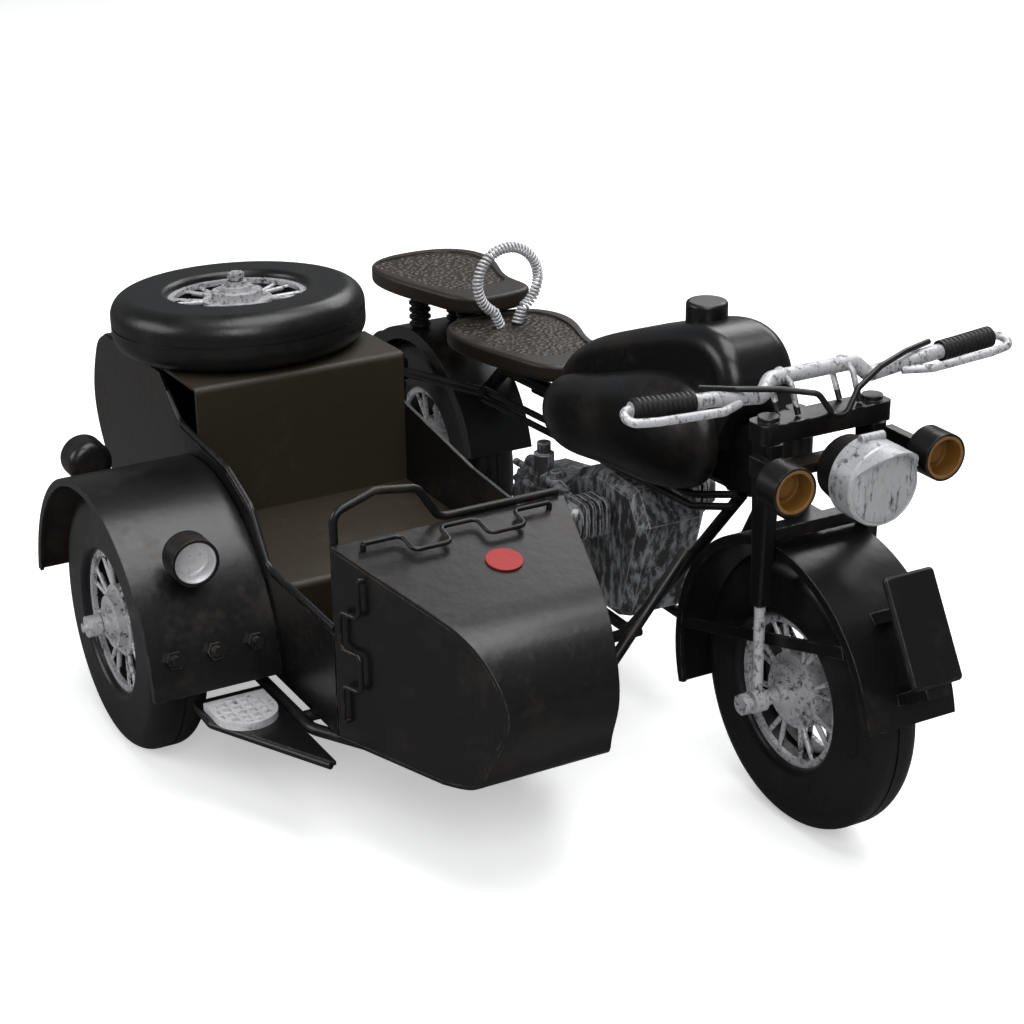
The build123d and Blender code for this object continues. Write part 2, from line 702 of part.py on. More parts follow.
grab_x = front_saddle_x - 18.0
grab_foot_z = front_saddle_z + saddle_thick - 1.5
grab_radius = 12.6
with BuildPart() as grab_spring:
    with BuildLine() as grab_path:
        ring = [
            (grab_x, bike_y + grab_radius * cos(radians(turn)), grab_foot_z + 17.5 + grab_radius * sin(radians(turn)))
            for turn in (208, 165, 125, 90, 55, 15, -28)
        ]
        Spline((grab_x, bike_y - 3.2, grab_foot_z), *ring, (grab_x, bike_y + 3.2, grab_foot_z))
    start = grab_path.wires()[0]
    with BuildSketch(Plane(origin=start @ 0, z_dir=start % 0)):
        Circle(2.0)
    sweep(path=start)
    add(saddles["front_saddle"], mode=Mode.SUBTRACT)
save(grab_spring.part, "grab_spring")

# ---- Tank ------------------------------------------------------------------------------------
tank_half = 13.0
tank_top = bar_z + 2.5
cap_x = front_axle_x - 60.0
cap_flange = 6.6
cap_height = 7.6
cap_seat_z = tank_top - 3.0
with BuildPart() as tank_body:
    with BuildSketch(side_plane(front_axle_x, bike_y)):
        with BuildLine():
            rear_tip = (-136, backbone_z - 6)
            front_top, front_low = (-27, tank_top - 17), (-36, backbone_z + 4)
            Spline(rear_tip, (-108, tank_top - 19), (-70, tank_top - 5), (-40, tank_top), front_top,
                   tangents=[(0.3, 1), (0.1, -1)])
            Line(front_top, front_low)
            Line(front_low, (-50, backbone_z - 1))
            Polyline((-50, backbone_z - 1), (-128, backbone_z - 9.5), rear_tip)
        make_face()
    extrude(amount=tank_half, both=True)
    fillet(edges().filter_by(GeomType.BSPLINE), 6.0)
    # flat seat for the filler cap, and room for the head tube's gusset
    with Locations((cap_x, bike_y, cap_seat_z + 10.0)):
        Cylinder(cap_flange + seat_gap, 20.0, mode=Mode.SUBTRACT)
    add(head_tube.part, mode=Mode.SUBTRACT)
    add(saddles["front_saddle"], mode=Mode.SUBTRACT)
save(tank_body.part, "tank_body")

pod_thick = 13.0
pod_rise = 18.6              # pod's half height at its fattest
pod_tip = (-133.0, backbone_z - 12.0)
pod_front = (-33.0, backbone_z + 10.0)
pod_axis = Vector(pod_front[0] - pod_tip[0], 0, pod_front[1] - pod_tip[1]).normalized()
pod_up = Vector(-pod_axis.Z, 0, pod_axis.X)


def pod_point(share, radius):
    """Point of the pod's profile, a share of the way along its axis and a radius above it."""
    x = pod_tip[0] + share * (pod_front[0] - pod_tip[0]) + radius * pod_up.X
    z = pod_tip[1] + share * (pod_front[1] - pod_tip[1]) + radius * pod_up.Z
    return (x, z)


for side_name, way in (("right", -1), ("left", 1)):
    with BuildPart() as tank_pod:
        with BuildSketch(side_plane(front_axle_x, 0)):
            with BuildLine():
                Spline(
                    pod_tip, pod_point(0.3, pod_rise * 0.8), pod_point(0.68, pod_rise),
                    pod_point(0.93, pod_rise * 0.72), pod_front,
                    tangents=[(pod_up.X, pod_up.Z), (-pod_up.X, -pod_up.Z)],
                )
                Line(pod_front, pod_tip)
            make_face()
        revolve(axis=Axis((front_axle_x + pod_tip[0], 0, pod_tip[1]), pod_axis))
        scale(by=(1, pod_thick / pod_rise, 1))
        split(bisect_by=Plane.XZ, keep=Keep.TOP if way < 0 else Keep.BOTTOM)
    save(tank_pod.part.moved(Location((0, bike_y + way * (tank_half + 0.1), 0))), f"tank_pod_{side_name}")

with BuildPart() as tank_cap:
    with BuildSketch(Plane.XY.offset(cap_seat_z + seat_gap)):
        with Locations((cap_x, bike_y)):
            Circle(cap_flange)
    extrude(amount=cap_height)
    fillet(edges().group_by(Axis.Z)[-1], 1.2)
save(tank_cap.part, "tank_cap")

# ---- Engine ----------------------------------------------------------------------------------
engine_x = front_axle_x - 100.0
engine_half = 13.0
with BuildPart() as engine_block:
    with BuildSketch(side_plane(engine_x, bike_y)):
        with BuildLine():
            Polyline(
                (14, rail_z + 5), (25, axle_z + 27), (18, axle_z + 38), (-4, axle_z + 39), (-18, axle_z + 34),
                (-30, axle_z + 24), (-64, axle_z + 18), (-66, rail_z + 6), (-30, rail_z + 2.2), (6, rail_z + 2.2),
                (14, rail_z + 5),
            )
        make_face()
    extrude(amount=engine_half, both=True)
    chamfer(faces().sort_by(Axis.Y)[0].edges(), 3.0)
    chamfer(faces().sort_by(Axis.Y)[-1].edges(), 3.0)
save(engine_block.part, "engine_block")

with BuildPart() as cylinders:
    for side in (-1, 1):
        root = Plane(
            origin=(engine_x + 1, bike_y + side * (engine_half + 0.1), axle_z + 25),
            z_dir=(0, side, 0), x_dir=(1, 0, 0),
        )
        with BuildSketch(root):
            Circle(4.6)
        extrude(amount=12.0)
        for fin in range(4):
            with BuildSketch(root.offset(1.6 + fin * 2.6)):
                RectangleRounded(13.0, 13.0, 3.0)
            extrude(amount=1.3)
        with BuildSketch(root.offset(12.0)):
            RectangleRounded(11.0, 11.0, 3.0)
        extrude(amount=4.0, taper=20)
save(cylinders.part, "cylinders")

with BuildPart() as carburettors:
    for side in (-1, 1):
        for x, radius, low, high in ((-30, 3.6, 25.0, 37.0), (-30, 2.4, 37.0, 41.0), (-22, 2.0, 25.0, 33.0)):
            add(rod([(engine_x + x, bike_y + side * (engine_half + 5.5), axle_z + low),
                     (engine_x + x, bike_y + side * (engine_half + 5.5), axle_z + high)], radius))
        add(rod([(engine_x - 40, bike_y + side * (engine_half + 5.5), axle_z + 31),
                 (engine_x - 14, bike_y + side * (engine_half + 5.5), axle_z + 27)], 2.2))
        for drop in (0, 6):
            add(rod([(engine_x - 48, bike_y + side * (engine_half + 6.5), axle_z + 28 - drop),
                     (engine_x - 26, bike_y + side * (engine_half + 7.0), axle_z + 29 - drop),
                     (engine_x - 6.2, bike_y + side * (engine_half + 7.0), axle_z + 28 - drop)], 1.3, 6.0))
        add(rod([(engine_x - 28, bike_y + side * (engine_half - 1.5), axle_z + 29.0),
                 (engine_x - 28, bike_y + side * (engine_half + 5.5), axle_z + 29.0)], 1.6))
save(carburettors.part, "carburettors")

# ---- Fork, bars and everything that turns with them -----------------------------------------------
fork_z_top = crown_z - 3.2
with BuildPart() as fork_crown:
    with Locations((front_axle_x, bike_y, crown_z)):
        Box(9.0, 2 * fork_half + 9.0, 6.0)
    fillet(edges().filter_by(Axis.Z), 2.0)
    with Locations((front_axle_x - steer_setback / 2, bike_y, crown_z - 2.0)):
        Box(steer_setback + 4, 9.0, 2.0)
    for side in (-1, 1):
        with Locations((front_axle_x, bike_y + side * fork_half, crown_z + 3.6)):
            Cylinder(3.2, 1.6)
    with Locations((front_axle_x, bike_y, lower_beam_z)):
        Box(5.0, 2 * fork_half - 4.7, 4.0)
    with Locations((front_axle_x - steer_setback / 2, bike_y, lower_beam_z)):
        Box(steer_setback + 4, 8.0, 4.0)
    with Locations((steer_x, bike_y, (lower_beam_z + crown_z) / 2)):
        Cylinder(stem_radius, crown_z - lower_beam_z)
save(fork_crown.part, "fork_crown")

leg_radius = 1.7
cover_low = axle_z + 32.0
with BuildPart() as fork_covers:
    for side in (-1, 1):
        with BuildSketch(Plane.XY.offset(fork_z_top)):
            with Locations((front_axle_x, bike_y + side * fork_half)):
                RectangleRounded(9.0, 5.6, 1.0)
        with BuildSketch(Plane.XY.offset(cover_low)):
            with Locations((front_axle_x, bike_y + side * (fork_half + 0.6))):
                RectangleRounded(5.0, 4.6, 1.0)
        loft()
        with Locations((front_axle_x, bike_y + side * (fork_half + 0.6), cover_low)):
            Cylinder(leg_radius + seat_gap, 16.0, mode=Mode.SUBTRACT)
save(fork_covers.part, "fork_covers")

with BuildPart() as fork_legs:
    for side in (-1, 1):
        leg_y = bike_y + side * (fork_half + 0.6)
        add(rod([(front_axle_x, leg_y, axle_z), (front_axle_x, leg_y, cover_low + 7.9)], leg_radius))
        add(rod([(front_axle_x, leg_y - 2.2, axle_z), (front_axle_x, leg_y + 2.2, axle_z)], 3.6))
    with BuildSketch(side_plane(front_axle_x, bike_y)):
        with Locations((0, axle_z)):
            Circle(axle_radius + seat_gap)
    extrude(amount=40, both=True, mode=Mode.SUBTRACT)
save(fork_legs.part, "fork_legs")
save(axle_with_caps(front_axle_x, fork_half + 6.6, fork_half - 1.65), "front_axle")

bar_radius = 2.3
bar_x = front_axle_x - 5.0
grip_inner = 43.0
bar_elbow = Vector(4.0, grip_inner - 6.0, -0.5)   # where the bar's straight ends begin
bar_tip = Vector(3.0, bar_half - 3.0, 1.0)


def bar_at(side, out):
    """Point on the middle of the bar's straight end, out from the motorcycle's middle."""
    point = bar_elbow + (bar_tip - bar_elbow) * ((out - bar_elbow.Y) / (bar_tip.Y - bar_elbow.Y))
    return (bar_x + point.X, bike_y + side * point.Y, bar_z + point.Z)


with BuildPart() as handlebar:
    add(rod(
        [bar_at(-1, bar_tip.Y), bar_at(-1, bar_elbow.Y),
         (bar_x + 2, bike_y - 19, bar_z - 3.5), (bar_x, bike_y - 15, bar_z + 0.5),
         (bar_x, bike_y + 15, bar_z + 0.5),
         (bar_x + 2, bike_y + 19, bar_z - 3.5), bar_at(1, bar_elbow.Y), bar_at(1, bar_tip.Y)],
        bar_radius, 2.6,
    ))
    for side in (-1, 1):
        strap_y = bike_y + side * 11.0
        add(rod(
            [(bar_x + 1.5, strap_y - 1.8, crown_z + 3.5), (bar_x - 3.6, strap_y - 1.2, bar_z - 2),
             (bar_x - 1, strap_y, bar_z + 3.4), (bar_x + 3.4, strap_y + 1.2, bar_z - 1),
             (front_axle_x + 1.5, strap_y + 1.8, crown_z + 3.5)], 0.9, 1.6,
        ))
save(handlebar.part, "handlebar")

grip_length = bar_half - grip_inner - 3.0
grip_pitch = 1.6
grip_radius = 3.2
with BuildPart() as grips:
    for side in (-1, 1):
        grip_start = Vector(bar_at(side, grip_inner + 1.0))
        grip_end = Vector(bar_at(side, bar_tip.Y))
        reach = (grip_end - grip_start).length
        ribs = int(reach / grip_pitch)
        profile_plane = Plane(origin=grip_start, x_dir=grip_end - grip_start, z_dir=(1, 0, side * 0.04))
        with BuildSketch(profile_plane):
            with BuildLine():
                corners = [(0, bar_radius + seat_gap), (0, grip_radius)]
                for rib in range(ribs):
                    corners += [(rib * grip_pitch + 0.8, grip_radius), (rib * grip_pitch + 1.0, grip_radius - 0.4),
                                (rib * grip_pitch + 1.4, grip_radius - 0.4), ((rib + 1) * grip_pitch, grip_radius)]
                Polyline(*corners, (reach, bar_radius + seat_gap), (0, bar_radius + seat_gap))
            make_face()
        revolve(axis=Axis(grip_start, grip_end - grip_start))
save(grips.part, "grips")

with BuildPart() as levers:
    for side in (-1, 1):
        add(rod(
            [(bar_x + 5, bike_y + side * (grip_inner - 14), bar_z - 3.0),
             (bar_x + 9.4, bike_y + side * (grip_inner - 6), bar_z - 2.6),
             (bar_x + 9.6, bike_y + side * (bar_half - 8), bar_z - 1.4),
             (bar_x + 8.6, bike_y + side * (bar_half - 0.5), bar_z - 0.8),
             (bar_x + 4, bike_y + side * (bar_half + 1.6), bar_z + 1),
             (bar_x + 3.2, bike_y + side * (bar_half - 2.8), bar_z + 1.2)], 1.3, 3.0,
        ))
    for neighbour in (handlebar.part, grips.part):
        add(neighbour, mode=Mode.SUBTRACT)
save(levers.part, "levers")

# Headlamp: bucket, rim with its visor and adjuster tab, and a lens
lamp_z = crown_z - 10.5
lens_radius = 11.0
rim_front = front_axle_x + 31.0
with BuildPart() as headlamp_bucket:
    with BuildSketch(side_plane(front_axle_x, bike_y)):
        with BuildLine():
            Polyline((9, lamp_z), (9, lamp_z + 5), (12, lamp_z + 9.6), (20, lamp_z + 11.2))
            Line((20, lamp_z + 11.2), (20, lamp_z))
            Line((20, lamp_z), (9, lamp_z))
        make_face()
    revolve(axis=Axis((front_axle_x, bike_y, lamp_z), (1, 0, 0)))
    fillet(edges().group_by(Axis.X)[0], 1.5)
    with Locations((front_axle_x + 5.6, bike_y, lamp_z)):
        Box(7.0, 2 * fork_half - 6.2, 3.0)
save(headlamp_bucket.part, "headlamp_bucket")

with BuildPart() as headlamp_rim:
    with BuildSketch(side_plane(front_axle_x, bike_y)):
        with BuildLine():
            Polyline(
                (20.1, lamp_z + 11.2), (21, lamp_z + 12.2), (30, lamp_z + 12.2), (31, lamp_z + 11.6),
                (31, lamp_z + lens_radius), (20.1, lamp_z + lens_radius), (20.1, lamp_z + 11.2),
            )
        make_face()
    revolve(axis=Axis((front_axle_x, bike_y, lamp_z), (1, 0, 0)))
    with BuildSketch(Plane(origin=(rim_front - 0.2, bike_y, lamp_z), z_dir=(1, 0, 0), x_dir=(0, 1, 0))):
        with BuildLine():
            CenterArc((0, 0), lens_radius + 0.6, 20, 140)
        trace(line_width=1.0)
    extrude(amount=6.5)
    with BuildSketch(side_plane(front_axle_x, bike_y)):
        with BuildLine():
            Polyline((31.2, lamp_z), (31.2, lamp_z + 5), (37.6, lamp_z + 12), (40, lamp_z + 12), (40, lamp_z),
                     (31.2, lamp_z))
        make_face()
    extrude(amount=20, both=True, mode=Mode.SUBTRACT)
    add(rod([(front_axle_x + 24, bike_y - 4, lamp_z + 12.6), (front_axle_x + 24, bike_y + 4, lamp_z + 12.6)], 1.4))
save(headlamp_rim.part, "headlamp_rim")

with BuildPart() as headlamp_lens:
    with BuildSketch(Plane(origin=(front_axle_x + 20.2, bike_y, lamp_z), z_dir=(1, 0, 0), x_dir=(0, 1, 0))):
        Circle(lens_radius - seat_gap)
    extrude(amount=11.4)
    chamfer(edges().group_by(Axis.X)[-1], 0.8, 2.4)
save(headlamp_lens.part, "headlamp_lens")

# Turn lamps: open cups on a cross bar, each with an amber liner
cup_radius = 7.2
cup_depth = 9.0
cup_y = 26.5
cup_x = front_axle_x + 16.0
cup_wall = 0.7
cup_z = lamp_z + 1.5
with BuildPart() as turn_lamps:
    for side in (-1, 1):
        back = Plane(origin=(cup_x, bike_y + side * cup_y, cup_z), z_dir=(1, 0, 0), x_dir=(0, 1, 0))
        with BuildSketch(back):
            Circle(cup_radius)
        extrude(amount=cup_depth)
        with BuildSketch(back.offset(1.6)):
            Circle(cup_radius - cup_wall)
        extrude(amount=cup_depth, mode=Mode.SUBTRACT)
        with Locations((front_axle_x + 8.6, bike_y + side * (fork_half + 5.6), cup_z)):
            Box(14.8, 3.0, 6.0)
save(turn_lamps.part, "turn_lamps")

with BuildPart() as turn_lenses:
    for side in (-1, 1):
        back = Plane(origin=(cup_x + 1.6 + seat_gap, bike_y + side * cup_y, cup_z), z_dir=(1, 0, 0), x_dir=(0, 1, 0))
        with BuildSketch(back):
            Circle(cup_radius - cup_wall - seat_gap)
        extrude(amount=cup_depth - 1.6)
        with BuildSketch(back.offset(0.8)):
            Circle(cup_radius - cup_wall - 0.9)
        extrude(amount=cup_depth, mode=Mode.SUBTRACT)
        with BuildSketch(back.offset(0.8)):
            Circle(3.4)
        extrude(amount=1.0)
save(turn_lenses.part, "turn_lenses")

# Front mudguard: arch with turned-in lips, flat stays, and the two plate brackets
front_guard_half = 15.5
lip_depth = 2.4
plate_turn = 30.0            # degrees, the way the number plate faces
plate_stand = front_guard_radius + 14.0  # wheel axle to the plate's back
with BuildPart() as front_fender:
    with BuildSketch(side_plane(front_axle_x, bike_y)):
        with BuildLine():
            CenterArc((0, axle_z), front_guard_radius, 11, 187)
        trace(line_width=sheet)
    extrude(amount=front_guard_half, both=True)
    # turned-in lips along both edges
    for side in (-1, 1):
        with BuildSketch(side_plane(front_axle_x, bike_y + side * (front_guard_half - sheet / 2))):
            with BuildLine():
                CenterArc((0, axle_z), front_guard_radius - lip_depth / 2, 11, 187)
            trace(line_width=lip_depth)
        extrude(amount=sheet / 2, both=True)
    # flat stays from the arch's back to the fork legs and on to its front
    stay_drop = front_guard_radius - 3.5
    for side in (-1, 1):
        stay_y = bike_y + side * (front_guard_half - sheet / 2)
        with BuildSketch(side_plane(front_axle_x, stay_y)):
            with BuildLine():
                Line((stay_drop * cos(radians(172)), axle_z + stay_drop * sin(radians(172))),
                     (stay_drop * cos(radians(40)), axle_z + stay_drop * sin(radians(40))))
            trace(line_width=3.6)
        extrude(amount=sheet / 2, both=True)
    # brackets that hold the number plate off the arch
    for turn in (48, 20):
        root_x = front_guard_radius * cos(radians(turn))
        root_z = axle_z + front_guard_radius * sin(radians(turn))
        reach = plate_stand - seat_gap - front_guard_radius * cos(radians(turn - plate_turn))
        with BuildSketch(side_plane(front_axle_x, bike_y)):
            with BuildLine():
                Line((root_x, root_z),
                     (root_x + reach * cos(radians(plate_turn)), root_z + reach * sin(radians(plate_turn))))
            trace(line_width=3.2)
        extrude(amount=4.0, both=True)
save(front_fender.part, "front_fender")

plate_long, plate_wide, plate_thick = 33.0, 17.5, 1.6
plate_shift = 9.5            # plate's middle above the line square to it through the axle
plate_face = Plane(
    origin=bike(plate_stand * cos(radians(plate_turn)), 0, axle_z + plate_stand * sin(radians(plate_turn))),
    z_dir=(cos(radians(plate_turn)), 0, sin(radians(plate_turn))), x_dir=(0, 1, 0),
)
with BuildPart() as number_plate:
    with BuildSketch(plate_face):
        with Locations((0, plate_shift)):
            RectangleRounded(plate_wide, plate_long, 1.6)
    extrude(amount=plate_thick)
    chamfer(faces().sort_by(Axis(plate_face.origin, plate_face.z_dir))[-1].edges(), 0.7)
save(number_plate.part, "number_plate")

# Two control cables, from the handlebar's grips down to the headlamp bracket
cable_radius = 0.9
cable_routes = [
    [(bar_x + 2, bike_y - grip_inner + 2, bar_z + 2.9), (bar_x + 4, bike_y - 30, bar_z + 1.2),
     (bar_x + 9, bike_y - 18, bar_z + 0.6), (bar_x + 14, bike_y - 8, bar_z - 1.0),
     (bar_x + 16, bike_y - 3.5, bar_z - 8), (bar_x + 13, bike_y - 3.5, crown_z + 4)],
    [(bar_x + 2, bike_y + grip_inner - 2, bar_z + 2.9), (bar_x + 5, bike_y + 30, bar_z + 2.6),
     (bar_x + 10, bike_y + 17, bar_z + 1.6), (bar_x + 14, bike_y + 6, bar_z - 2.0),
     (bar_x + 15, bike_y + 1.5, bar_z - 9), (bar_x + 13, bike_y - 0.5, crown_z + 4)],
]
with BuildPart() as cables:
    for route in cable_routes:
        add(rod(route, cable_radius, 3.0))
    for neighbour in (handlebar.part, grips.part):
        add(neighbour, mode=Mode.SUBTRACT)
save(cables.part, "cables")
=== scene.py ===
"""Tin model of a motorcycle with a sidecar: its finishes and fine detail on the fixed frame."""
import bpy
from math import cos, pi, radians, sin
from mathutils import Matrix, Vector


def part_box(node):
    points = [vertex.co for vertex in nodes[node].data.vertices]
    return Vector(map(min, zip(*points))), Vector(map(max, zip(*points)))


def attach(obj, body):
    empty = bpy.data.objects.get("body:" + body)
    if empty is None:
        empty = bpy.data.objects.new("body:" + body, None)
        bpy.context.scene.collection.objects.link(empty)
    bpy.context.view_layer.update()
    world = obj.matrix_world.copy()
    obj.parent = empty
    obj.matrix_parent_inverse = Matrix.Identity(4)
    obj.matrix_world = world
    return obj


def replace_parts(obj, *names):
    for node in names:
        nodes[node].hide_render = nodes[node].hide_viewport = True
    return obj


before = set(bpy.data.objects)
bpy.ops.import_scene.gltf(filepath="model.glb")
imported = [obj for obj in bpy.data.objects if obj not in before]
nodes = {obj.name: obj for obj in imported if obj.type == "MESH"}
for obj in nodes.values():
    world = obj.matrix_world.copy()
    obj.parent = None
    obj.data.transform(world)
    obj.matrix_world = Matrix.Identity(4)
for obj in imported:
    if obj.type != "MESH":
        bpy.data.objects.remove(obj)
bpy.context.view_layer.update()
scene = bpy.context.scene


# ---- Tyres -------------------------------------------------------------------------------------
# Moulded tyres, solid and satin black, with a moulding seam round the tread. They are pushed over
# the wheel rims. Dust sits in the fine pits, and the shoulders are rubbed a little greyer.
def new_material(name):
    """Empty node material: gives its node list, link list and Principled shader."""
    material = bpy.data.materials.new(name)
    material.use_nodes = True
    tree = material.node_tree
    tree.nodes.clear()
    out = tree.nodes.new("ShaderNodeOutputMaterial")
    shader = tree.nodes.new("ShaderNodeBsdfPrincipled")
    tree.links.new(shader.outputs[0], out.inputs[0])
    return material, tree, shader


def new_group(name, inputs, outputs):
    """Empty shader node group with named number, colour or vector sockets."""
    group = bpy.data.node_groups.new(name, "ShaderNodeTree")
    kinds = {"f": "NodeSocketFloat", "c": "NodeSocketColor", "v": "NodeSocketVector"}
    for label, kind, default in inputs:
        socket = group.interface.new_socket(name=label, in_out="INPUT", socket_type=kinds[kind])
        socket.default_value = default
    for label, kind in outputs:
        group.interface.new_socket(name=label, in_out="OUTPUT", socket_type=kinds[kind])
    return group, group.nodes.new("NodeGroupInput"), group.nodes.new("NodeGroupOutput")


def add_noise(tree, scale, detail, vector):
    """Noise texture node on the given coordinates."""
    noise = tree.nodes.new("ShaderNodeTexNoise")
    noise.inputs["Scale"].default_value = scale
    noise.inputs["Detail"].default_value = detail
    noise.inputs["Roughness"].default_value = 0.55
    tree.links.new(vector, noise.inputs["Vector"])
    return noise.outputs["Fac"]


def add_ramp(tree, value, stops):
    """Colour ramp from (place, grey or colour) stops; gives its colour output."""
    ramp = tree.nodes.new("ShaderNodeValToRGB")
    while len(ramp.color_ramp.elements) < len(stops):
        ramp.color_ramp.elements.new(0.5)
    for element, (place, colour) in zip(ramp.color_ramp.elements, stops):
        element.position = place
        element.color = (*colour, 1.0) if isinstance(colour, tuple) else (colour, colour, colour, 1.0)
    tree.links.new(value, ramp.inputs["Fac"])
    return ramp.outputs["Color"]


def add_mix(tree, factor, a, b):
    """Colour mix; the factor and both colours may be sockets or plain values."""
    mix = tree.nodes.new("ShaderNodeMix")
    mix.data_type = "RGBA"
    for socket, value in ((mix.inputs[0], factor), (mix.inputs[6], a), (mix.inputs[7], b)):
        if isinstance(value, bpy.types.NodeSocket):
            tree.links.new(value, socket)
        elif isinstance(value, tuple):
            socket.default_value = (*value, 1.0)
        else:
            socket.default_value = value
    return mix.outputs[2]


def add_math(tree, operation, a, b=0.0, clamp=False):
    """Math node on sockets or plain numbers."""
    node = tree.nodes.new("ShaderNodeMath")
    node.operation = operation
    node.use_clamp = clamp
    for socket, value in ((node.inputs[0], a), (node.inputs[1], b)):
        if isinstance(value, bpy.types.NodeSocket):
            tree.links.new(value, socket)
        else:
            socket.default_value = value
    return node.outputs[0]


def add_bump(tree, height, distance, normal=None):
    """Bump node: distance in metres, on top of another normal if one is given."""
    bump = tree.nodes.new("ShaderNodeBump")
    bump.inputs["Distance"].default_value = distance
    if normal:
        tree.links.new(normal, bump.inputs["Normal"])
    tree.links.new(height, bump.inputs["Height"])
    return bump.outputs["Normal"]


def add_group(tree, group, **values):
    """Place a node group, with its inputs set by name (underscores stand for spaces)."""
    node = tree.nodes.new("ShaderNodeGroup")
    node.node_tree = group
    for label, value in values.items():
        socket = node.inputs[label.replace("_", " ")]
        if isinstance(value, bpy.types.NodeSocket):
            tree.links.new(value, socket)
        else:
            socket.default_value = (*value, 1.0) if isinstance(value, tuple) and len(value) == 3 else value
    return node


def object_point(tree):
    """Object coordinates, in metres."""
    return tree.nodes.new("ShaderNodeTexCoord").outputs["Object"]


def paint(material, *names):
    """Give CAD nodes this material as their only one."""
    for name in names:
        mesh = nodes[name].data
        mesh.materials.clear()
        mesh.materials.append(material)


tyre_black, tree, shader = new_material("tyre_black")
place = object_point(tree)
cloudy = add_noise(tree, 60.0, 5.0, place)
specks = add_noise(tree, 900.0, 3.0, place)
shade = add_ramp(tree, cloudy, [(0.35, (0.0035, 0.0035, 0.0036)), (0.62, (0.006, 0.0058, 0.0056)),
                               (0.8, (0.014, 0.0125, 0.011))])
tree.links.new(shade, shader.inputs["Base Color"])
rough = add_ramp(tree, add_math(tree, "ADD", cloudy, add_math(tree, "MULTIPLY", specks, 0.25)),
                 [(0.4, 0.24), (0.85, 0.42)])
tree.links.new(rough, shader.inputs["Roughness"])
shader.inputs["Specular IOR Level"].default_value = 0.42
pits = add_ramp(tree, specks, [(0.35, 0.0), (0.6, 1.0)])
ripple = add_noise(tree, 140.0, 2.0, place)
height = add_math(tree, "ADD", add_math(tree, "MULTIPLY", pits, 0.12),
                  add_math(tree, "MULTIPLY", ripple, 0.8))
tree.links.new(add_bump(tree, height, 0.00012), shader.inputs["Normal"])
paint(tyre_black, "front_tyre", "rear_tyre", "sidecar_tyre", "spare_tyre")

# ---- Wheels and axles ----------------------------------------------------------------------------
# Cast rims with wire spokes and stepped hubs, brushed over with silver paint by hand. The paint is
# bright on what stands up and thin and dark where the brush missed.
silver_group, given, result = new_group(
    "brushed_silver",
    [("Streak scale", "f", 300.0), ("Cover", "f", 0.5), ("Stretch", "v", (1.0, 1.0, 0.15)),
     ("Bright", "c", (0.62, 0.62, 0.64, 1.0)), ("Bare", "c", (0.03, 0.03, 0.032, 1.0))],
    [("Color", "c"), ("Metallic", "f"), ("Roughness", "f"), ("Height", "f")],
)
place = object_point(silver_group)
stretch = silver_group.nodes.new("ShaderNodeVectorMath")
stretch.operation = "MULTIPLY"
silver_group.links.new(place, stretch.inputs[0])
silver_group.links.new(given.outputs["Stretch"], stretch.inputs[1])
streaks = silver_group.nodes.new("ShaderNodeTexNoise")
streaks.inputs["Detail"].default_value = 8.0
streaks.inputs["Roughness"].default_value = 0.7
silver_group.links.new(stretch.outputs[0], streaks.inputs["Vector"])
silver_group.links.new(given.outputs["Streak scale"], streaks.inputs["Scale"])
patches = add_noise(silver_group, 130.0, 4.0, place)
missed = add_math(silver_group, "ADD", add_math(silver_group, "MULTIPLY", streaks.outputs["Fac"], 0.75),
                  add_math(silver_group, "MULTIPLY", patches, 0.25))
over = add_math(silver_group, "SUBTRACT", missed, given.outputs["Cover"])
cover = add_ramp(silver_group, add_math(silver_group, "ADD", over, 0.5), [(0.44, 1.0), (0.55, 0.0)])
tint = add_ramp(silver_group, streaks.outputs["Fac"], [(0.3, 0.72), (0.7, 1.0)])
streaks_and_pebble_highlight = silver_group.nodes.new("ShaderNodeMix")
streaks_and_pebble_highlight.data_type = "RGBA"
streaks_and_pebble_highlight.blend_type = "MULTIPLY"
streaks_and_pebble_highlight.inputs[0].default_value = 1.0
silver_group.links.new(given.outputs["Bright"], streaks_and_pebble_highlight.inputs[6])
silver_group.links.new(tint, streaks_and_pebble_highlight.inputs[7])
coated = add_mix(silver_group, cover, given.outputs["Bare"], streaks_and_pebble_highlight.outputs[2])
dullness = add_ramp(silver_group, streaks.outputs["Fac"], [(0.25, 0.30), (0.75, 0.52)])
body = add_math(silver_group, "MULTIPLY", cover, 0.4)
thickness = add_math(silver_group, "ADD", streaks.outputs["Fac"], body)
silver_group.links.new(coated, result.inputs["Color"])
silver_group.links.new(add_math(silver_group, "MULTIPLY", cover, 0.35), result.inputs["Metallic"])
silver_group.links.new(dullness, result.inputs["Roughness"])
silver_group.links.new(thickness, result.inputs["Height"])


def silver_material(name, streak_scale, cover_share, stretch_by, bright=(0.62, 0.62, 0.64), bump=0.00015):
    """Silver paint brushed over black: more cover is a fuller coat."""
    material, tree, shader = new_material(name)
    coat = add_group(tree, silver_group, Streak_scale=streak_scale, Cover=cover_share, Bright=bright)
    coat.inputs["Stretch"].default_value = stretch_by
    for source, target in (("Color", "Base Color"), ("Metallic", "Metallic"), ("Roughness", "Roughness")):
        tree.links.new(coat.outputs[source], shader.inputs[target])
    tree.links.new(add_bump(tree, coat.outputs["Height"], bump), shader.inputs["Normal"])
    return material


even, wheel_bright = (1.0, 1.0, 1.0), (0.55, 0.55, 0.57)
wheel_scale, wheel_cover = 620.0, 0.55
wheel_silver = silver_material("wheel_silver", wheel_scale, wheel_cover, even, wheel_bright)
paint(wheel_silver, "front_axle", "rear_axle", "sidecar_axle", "spare_bolt")
deck_tilt = radians(3.0)
